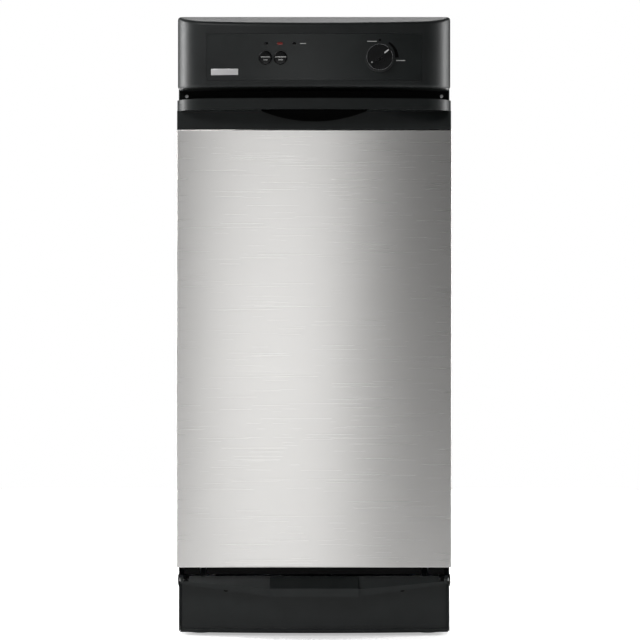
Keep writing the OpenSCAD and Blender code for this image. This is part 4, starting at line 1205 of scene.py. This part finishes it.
class COMPACTOR_OT_running_gear(CompactorStep, bpy.types.Operator):
    """Build the drawer's tracks and rollers, the rear wheels and the levelling legs"""

    bl_idname = "compactor.running_gear"
    bl_label = "Running gear"

    def build(self, shape):
        for node in ("drawer_tracks", "roller_brackets", "wheel_brackets"):
            softened_node(node, 0.3 * MM)
        for end in ("front", "rear"):
            for side in ("left", "right"):
                self.roller(f"{end}_roller_{side}")
        for side in ("left", "right"):
            self.wheel(f"rear_wheel_{side}")
            self.leg(f"leveling_leg_{side}")

    def roller(self, node):
        """A moulded roller with a web and a rounded tread."""
        a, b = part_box(node)
        half, r = (b.x - a.x) / 2, (b.z - a.z) / 2
        hub = 5.2 * MM
        side = [(WHEEL_BORE, -half), (hub, -half), (hub + 0.3 * MM, -0.4 * half), (r - 2.6 * MM, -0.4 * half),
                (r - 2.2 * MM, -half + 0.3 * MM), (r - 0.7 * MM, -half), (r, -half + 0.8 * MM)]
        wheel = Shapes().ring(mirrored(side), axis_place(middle(node), (1, 0, 0)), 48)
        rim, thick = r - 2 * MM, 0.55 * MM
        for k in range(6):
            spoke = Matrix.Translation(middle(node)) @ Matrix.Rotation(math.pi * k / 3, 4, "X")
            lying = Matrix.Rotation(math.pi / 2, 4, "Y") @ Matrix.Translation((0, 0, -0.75 * half))
            wheel.prism([(-thick, hub), (thick, hub), (thick, rim), (-thick, rim)], 1.5 * half, spoke @ lying)
        place_piece(wheel.object(node + "_moulding"), body_with(node), "nylon_white", node)

    def wheel(self, node):
        a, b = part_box(node)
        half, r = (b.x - a.x) / 2, (b.z - a.z) / 2
        place = axis_place(middle(node), (1, 0, 0))
        tyre = [(r - 4.5 * MM, -half + 0.6 * MM), (r - 1.4 * MM, -half), (r - 0.3 * MM, -half + 1.6 * MM)]
        grooves = 3
        span = 2 * (half - 2 * MM) / grooves
        for k in range(grooves):
            start = -half + 2 * MM + k * span
            tyre += [(r, start + 0.2 * span), (r, start + 0.75 * span),
                     (r - 0.8 * MM, start + 0.8 * span), (r - 0.8 * MM, start + 0.97 * span)]
        tyre += [(r - 0.3 * MM, half - 1.6 * MM), (r - 1.4 * MM, half), (r - 4.5 * MM, half - 0.6 * MM)]
        made = Shapes().ring(tyre, place, 64)
        made.ring(mirrored([
            (WHEEL_BORE, -half), (6 * MM, -half), (6.4 * MM, -0.3 * half), (r - 6.5 * MM, -0.3 * half),
            (r - 5.8 * MM, -half + 1.2 * MM), (r - 4.4 * MM, -half + 1.2 * MM)]), place, 48)
        place_piece(made.object(node + "_tyre"), body_with(node), "rubber_black", node)

    def leg(self, node):
        """A foot with a hexagon for a spanner and a threaded stem."""
        x, y = middle(node).x, middle(node).y
        place = Matrix.Translation((x, y, 0))
        leg = Shapes().lathe(millimetres(
            (0, 0), (14.2, 0), (15, 0.8), (15, 3.4), (14.4, 4.2), (9.6, 7.4), (8, 8), (0, 8)), place, 56)
        leg.prism(circle(9 * MM, 6), 7 * MM, place @ Matrix.Translation((0, 0, 8 * MM)), 0.5 * MM)
        leg.lathe(millimetres((0, 15), (6.4, 15), (7, 15.6), (7, 29.3), (6.5, 29.8), (0, 29.8)), place, 40)
        threaded(leg.bm, place, 29.8 * MM, 60 * MM, 4.8 * MM, 0.55 * MM, 1.5 * MM, 20)
        place_piece(leg.object(node + "_screw"), body_with(node), "rail_steel", node)


def threaded(bm, place, bottom, top, radius, depth, lead, sides):
    """A closed threaded bar along the place's Z, with flat crests and roots."""
    per_turn = 8
    rows = int(round((top - bottom) / lead * per_turn))
    rings = []
    for row in range(rows + 1):
        ring = []
        for k in range(sides):
            phase = (row / per_turn - k / sides) % 1
            flank = min(1, max(0, (abs(phase - 0.5) - 0.14) / 0.2))
            r = radius - depth * flank
            angle = 2 * math.pi * k / sides
            ring.append(bm.verts.new(place @ Vector((
                r * math.cos(angle), r * math.sin(angle), bottom + (top - bottom) * row / rows))))
        rings.append(ring)
    faces = [bm.faces.new(rings[0][::-1]), bm.faces.new(rings[-1])]
    for a, b in zip(rings, rings[1:]):
        faces += bridge(bm, a, b)
    bmesh.ops.recalc_face_normals(bm, faces=faces)


class COMPACTOR_OT_drive(CompactorStep, bpy.types.Operator):
    """Build the motor, the gears, the chain and the two power screws"""

    bl_idname = "compactor.drive"
    bl_label = "Drive"

    def build(self, shape):
        softened_node("motor_rotor", 0.3 * MM)
        softened_node("drive_gear", 0.25 * MM, 1)
        softened_node("screw_bearings", 0.5 * MM)
        for side in ("left", "right"):
            softened_node(f"screw_sprocket_{side}", 0.25 * MM, 1)
            self.power_screw(f"power_screw_{side}", shape)
        self.motor()
        self.chain(shape)

    def power_screw(self, node, shape):
        place = Matrix.Translation((middle(node).x, middle(node).y, 0))
        screw = Shapes().lathe(millimetres((0, 20), (7.4, 20), (8, 20.6), (8, 52.2), (0, 52.2)), place, 40)
        screw.lathe(millimetres((0, 825.8), (7, 825.8), (7, 840.4), (6.4, 841), (0, 841)), place, 40)
        screw.lathe(millimetres((0, 52), (9.4, 52), (9.4, 57), (0, 57)), place, 40)
        threaded(screw.bm, place, 57 * MM, 826 * MM, 9.5 * MM, shape.thread_depth, shape.screw_lead, 24)
        place_piece(screw.object(node + "_thread"), body_with(node), "rotor_steel", node)

    def motor(self):
        """A round motor with end bells, a laminated core, bolts, slots and a capacitor."""
        centre = at(0, 515, 0)
        place = Matrix.Translation(centre)
        body = Shapes()
        body.ring(millimetres(
            (6.1, 62), (50, 62), (56.5, 63.5), (59.2, 66.5), (59.6, 71), (59.6, 92), (57.6, 93), (57.6, 95),
            (60, 95), (60, 147), (57.6, 147), (57.6, 149), (59.6, 150), (59.6, 171), (59.2, 175.5),
            (56.5, 178.5), (50, 180), (12, 180), (10, 176), (6.1, 176), (6.1, 171), (40, 171), (40, 71),
            (6.1, 71)), place, 72)
        for k in range(12):
            angle = 2 * math.pi * k / 12
            slot = place @ Matrix.Rotation(angle, 4, "Z")
            body.prism(millimetres((22, -2.4), (42, -4.2), (42, 4.2), (22, 2.4)), 1.2 * MM,
                       slot @ Matrix.Translation((0, 0, 179.4 * MM)), 0.5 * MM)
        for k in range(20):
            body.ring(millimetres((59.4, 96.2 + 2.5 * k), (60, 96.2 + 2.5 * k), (60, 97.7 + 2.5 * k),
                                  (59.4, 97.7 + 2.5 * k)), place, 72)
        for k in range(4):
            angle = math.pi / 4 + math.pi * k / 2
            foot = place @ Matrix.Translation((50 * MM * math.cos(angle), 50 * MM * math.sin(angle), 0))
            body.lathe(millimetres(
                (0, 46), (7, 46), (7, 50), (5.6, 51), (5.6, 57), (7, 58), (7, 63), (0, 63)), foot, 28)
            body.lathe(millimetres((0, 179), (3.6, 179), (3.6, 182.2), (3, 182.8), (0, 182.8)), foot, 6)
        place_piece(body.object("motor_body"), "cabinet", "motor_paint", "motor_housing")
        can = Shapes()
        can.lathe(millimetres((0, -35), (15.6, -35), (17.4, -34.3), (17.9, -32.6), (17.9, 27), (17.2, 28.6),
                              (16.4, 29.2), (0, 29.2)),
                  axis_place(at(0, 507, 200), (1, 0, 0)), 56)
        for y in (-6, 6):
            can.block(at(28.8, 507 + y - 3.2, 199.2), at(35, 507 + y + 3.2, 200.8), 0.2 * MM)
        place_piece(can.object("motor_capacitor"), "cabinet", "switch_grey")
        strap = Shapes()
        strap.ring(millimetres((17.9, -7), (18, -6.6), (18, 6.6), (17.9, 7), (17.6, 6.6), (17.6, -6.6)),
                   axis_place(at(-4, 507, 200), (1, 0, 0)), 56)
        strap.block(at(-12, 500, 179.9), at(4, 514, 183.5), 0.5 * MM)
        place_piece(strap.object("capacitor_strap"), "cabinet", "galvanized_steel")

    def chain(self, shape):
        teeth = {"drive_gear": 12, "power_screw_left": 14, "power_screw_right": 14}
        path = belt([(middle(node).x, middle(node).y, shape.chain_pitch / (2 * math.sin(math.pi / count)))
                     for node, count in teeth.items()])
        level = middle("drive_chain").z
        length = sum(math.dist(a, b) for a, b in zip(path, path[1:] + path[:1]))
        links = 2 * round(length / shape.chain_pitch / 2)
        chain = grown("roller_chain", line_curve([(x, y, level) for x, y in path], True), chain_tree(),
                      "chain_steel", {"Links": links, "Pitch": length / links, "Roller width": 3.0 * MM,
                                      "Plate thickness": 0.7 * MM})
        place_piece(chain, "cabinet", "chain_steel", "drive_chain")


def belt(circles):
    """The line of a belt that runs round the outside of level circles (x, y, radius)."""
    points = sorted({(round(px, 7), round(py, 7))
                     for x, y, r in circles for px, py in circle(r, 180, x, y)})

    def half(ordered):
        hull = []
        for p in ordered:
            while len(hull) > 1 and (
                    (hull[-1][0] - hull[-2][0]) * (p[1] - hull[-2][1])
                    - (hull[-1][1] - hull[-2][1]) * (p[0] - hull[-2][0])) <= 0:
                hull.pop()
            hull.append(p)
        return hull[:-1]
    return half(points) + half(points[::-1])


class COMPACTOR_OT_ram(CompactorStep, bpy.types.Operator):
    """Build the ram's plate, its box, its brackets and its nuts"""

    bl_idname = "compactor.ram"
    bl_label = "Ram"

    def build(self, shape):
        softened_node("ram_plate", 1.4 * MM, 3)
        softened_node("ram_box", 3 * MM, 4)
        softened_node("ram_arms", 1.2 * MM, 3)
        softened_node("ram_nuts", 0.8 * MM, 2)
        a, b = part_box("ram_box")
        beads = Shapes()
        for z in (0.60, 0.66, 0.72):
            for front, back in ((a.y - 1.6 * MM, a.y + 0.4 * MM), (b.y - 0.4 * MM, b.y + 1.6 * MM)):
                beads.block((a.x + 25 * MM, front, z), (b.x - 25 * MM, back, z + 0.010), 0.9 * MM, 3)
        place_piece(beads.object("ram_beads"), "ram", "ram_paint")


class COMPACTOR_OT_wiring(CompactorStep, bpy.types.Operator):
    """Build the rotary switch, the board, the limit switches, the loom and the cord's bushing"""

    bl_idname = "compactor.wiring"
    bl_label = "Wiring"

    # From the switch along the cabinet's top and down its back to the motor
    ROUTE = ((92, 15.5, 800), (120, 45, 810), (150, 80, 838), (168, 130, 852), (172, 220, 852),
             (172, 320, 852), (172, 420, 846), (170, 500, 815), (166, 545, 740), (158, 560, 620),
             (146, 562, 480), (130, 562, 350), (112, 560, 260), (90, 552, 212), (60, 540, 196),
             (34, 532, 196))

    def build(self, shape):
        softened_node("rotary_switch", 0.6 * MM, 3)
        softened_node("limit_switches", 0.35 * MM)
        softened_node("cord_bushing", 0.5 * MM, 3)
        softened_node("control_board", 0.15 * MM, 1)
        terminals = Shapes()
        for x in (78, 86, 94, 102):
            for z in (790, 812):
                terminals.block(at(x - 1.6, 13.9, z), at(x + 1.6, 20, z + 0.8), 0.15 * MM)
        place_piece(terminals.object("switch_tabs"), "cabinet", "bronze")
        parts = Shapes()
        for x, z, w, h, deep in ((-106, 812, 14, 10, 9), (-84, 812, 10, 10, 12), (-44, 808, 18, 8, 3),
                                 (-14, 812, 12, 12, 8), (2, 782, 12, 6, 6)):
            parts.block(at(x, -4.4, z), at(x + w, -4.4 + deep, z + h), 0.5 * MM)
        for k, x in enumerate((-112, -50, -6, 8)):
            parts.lathe(millimetres((0, 0), (2.6, 0), (2.6, 6.5), (2.2, 7), (0, 7)),
                        axis_place(at(x, -4.4, 790 + 3 * (k % 2)), (0, 1, 0)), 20)
        place_piece(parts.object("board_parts"), "cabinet", "switch_grey")
        route = smooth_line([at(*p) for p in self.ROUTE], 8)
        loom = grown("wire_sleeve", line_curve(route), loom_tree(), "loom_black", {
            "Radius": 2.6 * MM, "Rib": 0.35 * MM, "Rib spacing": 1.6 * MM, "Tie spacing": 110 * MM})
        place_piece(loom, "cabinet", "loom_black", "wiring_harness")


def smooth_line(points, steps):
    """Points of a smooth line through the given ones."""
    line = []
    padded = [points[0]] + points + [points[-1]]
    for a, b, c, d in zip(padded, padded[1:], padded[2:], padded[3:]):
        for k in range(steps):
            t = k / steps
            line.append(0.5 * (2 * b + (c - a) * t + (2 * a - 5 * b + 4 * c - d) * t ** 2
                               + (3 * b - a - 3 * c + d) * t ** 3))
    return line + [points[-1]]


# How much lighter the floor looks than its paint, which keeps it pale far from the lights
FLOOR_LIFT = 0.45


class COMPACTOR_OT_stage(CompactorStep, bpy.types.Operator):
    """Build the pale floor, the soft lights and the camera"""

    bl_idname = "compactor.stage"
    bl_label = "Stage"

    def build(self, shape):
        self.floor()
        self.lights()
        self.camera()

    def floor(self):
        mesh = bpy.data.meshes.new("floor")
        half, front, back = 4.0, -6.0, 2.5
        mesh.from_pydata([(x, y, 0) for x, y in ((-half, front), (half, front), (half, back), (-half, back))],
                         [], [(0, 1, 2, 3)])
        sheet = bpy.data.objects.new("floor", mesh)
        bpy.context.scene.collection.objects.link(sheet)
        material, tree, shader = principled("floor_paint", (0.86, 0.86, 0.86), 0.9)
        tint(tree, shader, noise(tree, 0.4), (0.855, 0.855, 0.855), (0.87, 0.87, 0.87))
        seen = tree.nodes.new("ShaderNodeLightPath")
        glow = tree.nodes.new("ShaderNodeMath")
        glow.operation = "MULTIPLY"
        glow.inputs[1].default_value = FLOOR_LIFT
        tree.links.new(seen.outputs["Is Camera Ray"], glow.inputs[0])
        shader.inputs["Emission Color"].default_value = (1, 1, 1, 1)
        tree.links.new(glow.outputs["Value"], shader.inputs["Emission Strength"])
        sheet.data.materials.append(material)

    def lights(self):
        scene = bpy.context.scene
        scene.view_settings.view_transform = "Standard"
        world = bpy.data.worlds.new("studio")
        scene.world = world
        world.use_nodes = True
        tree = world.node_tree
        background = tree.nodes["Background"]
        seen = tree.nodes.new("ShaderNodeLightPath")
        tone = tree.nodes.new("ShaderNodeMix")
        tone.data_type = "RGBA"
        tone.inputs["A"].default_value = (0.03, 0.03, 0.03, 1)
        tone.inputs["B"].default_value = (1, 1, 1, 1)
        tree.links.new(seen.outputs["Is Camera Ray"], tone.inputs["Factor"])
        tree.links.new(tone.outputs["Result"], background.inputs["Color"])
        background.inputs["Strength"].default_value = 1.0
        for name, place, target, size, power, spread in (
                ("front_box", (-0.125, -3.9, 0.50), (-0.125, 0, 0.50), (0.48, 1.1), 5.9, 180),
                ("key_box", (-1.3, -2.4, 2.3), (0, -0.2, 0.5), (1.0, 1.0), 40, 180),
                ("left_strip", (-1.9, 0.1, 0.8), (0, -0.3, 0.7), (0.3, 1.4), 56, 180),
                ("right_strip", (1.9, 0.1, 0.8), (0, -0.3, 0.7), (0.3, 1.4), 42, 180),
                ("rim_box", (0, 1.7, 2.7), (0, -0.25, 0.85), (1.8, 0.5), 15, 180),
                ("floor_box", (0, 2.2, 2.6), (0, 2.2, 0), (4.0, 2.6), 180, 92)):
            light = bpy.data.lights.new(name, "AREA")
            light.shape = "RECTANGLE"
            light.size, light.size_y = size
            light.energy = power
            light.spread = math.radians(spread)
            lamp = bpy.data.objects.new(name, light)
            lamp.location = place
            lamp.rotation_euler = (Vector(target) - Vector(place)).to_track_quat("-Z", "Y").to_euler()
            scene.collection.objects.link(lamp)

    def camera(self):
        data = bpy.data.cameras.new("camera")
        data.sensor_width = 36
        data.lens = 129.9
        data.clip_end = 60
        camera = bpy.data.objects.new("camera", data)
        camera.location = (0.0082, -3.4705, 0.4405)
        camera.rotation_euler = FACES_FRONT
        bpy.context.scene.collection.objects.link(camera)
        bpy.context.scene.camera = camera


STEPS = (
    COMPACTOR_OT_drawer_front, COMPACTOR_OT_handle, COMPACTOR_OT_console, COMPACTOR_OT_controls,
    COMPACTOR_OT_cabinet, COMPACTOR_OT_screws, COMPACTOR_OT_toe_space, COMPACTOR_OT_bin,
    COMPACTOR_OT_running_gear, COMPACTOR_OT_drive, COMPACTOR_OT_ram, COMPACTOR_OT_wiring,
    COMPACTOR_OT_stage)


class COMPACTOR_PT_sidebar(bpy.types.Panel):
    """Lists the settings and the building steps"""

    bl_idname = "COMPACTOR_PT_sidebar"
    bl_label = "Trash compactor"
    bl_space_type = "VIEW_3D"
    bl_region_type = "UI"
    bl_category = "Compactor"

    def draw(self, context):
        for group in (context.scene.compactor_finish, context.scene.compactor_shape):
            box = self.layout.box()
            for name in group.bl_rna.properties.keys():
                if name not in ("rna_type", "name"):
                    box.prop(group, name)
        for step in STEPS:
            self.layout.operator(step.bl_idname)


CLASSES = (CompactorFinish, CompactorShape, *STEPS, COMPACTOR_PT_sidebar)


def register():
    for cls in CLASSES:
        bpy.utils.register_class(cls)
    bpy.types.Scene.compactor_finish = bpy.props.PointerProperty(type=CompactorFinish)
    bpy.types.Scene.compactor_shape = bpy.props.PointerProperty(type=CompactorShape)


def unregister():
    del bpy.types.Scene.compactor_shape
    del bpy.types.Scene.compactor_finish
    for cls in reversed(CLASSES):
        bpy.utils.unregister_class(cls)


def main():
    register()
    for step in STEPS:
        group, name = step.bl_idname.split(".")
        getattr(getattr(bpy.ops, group), name)()


if __name__ == "__main__":
    main()
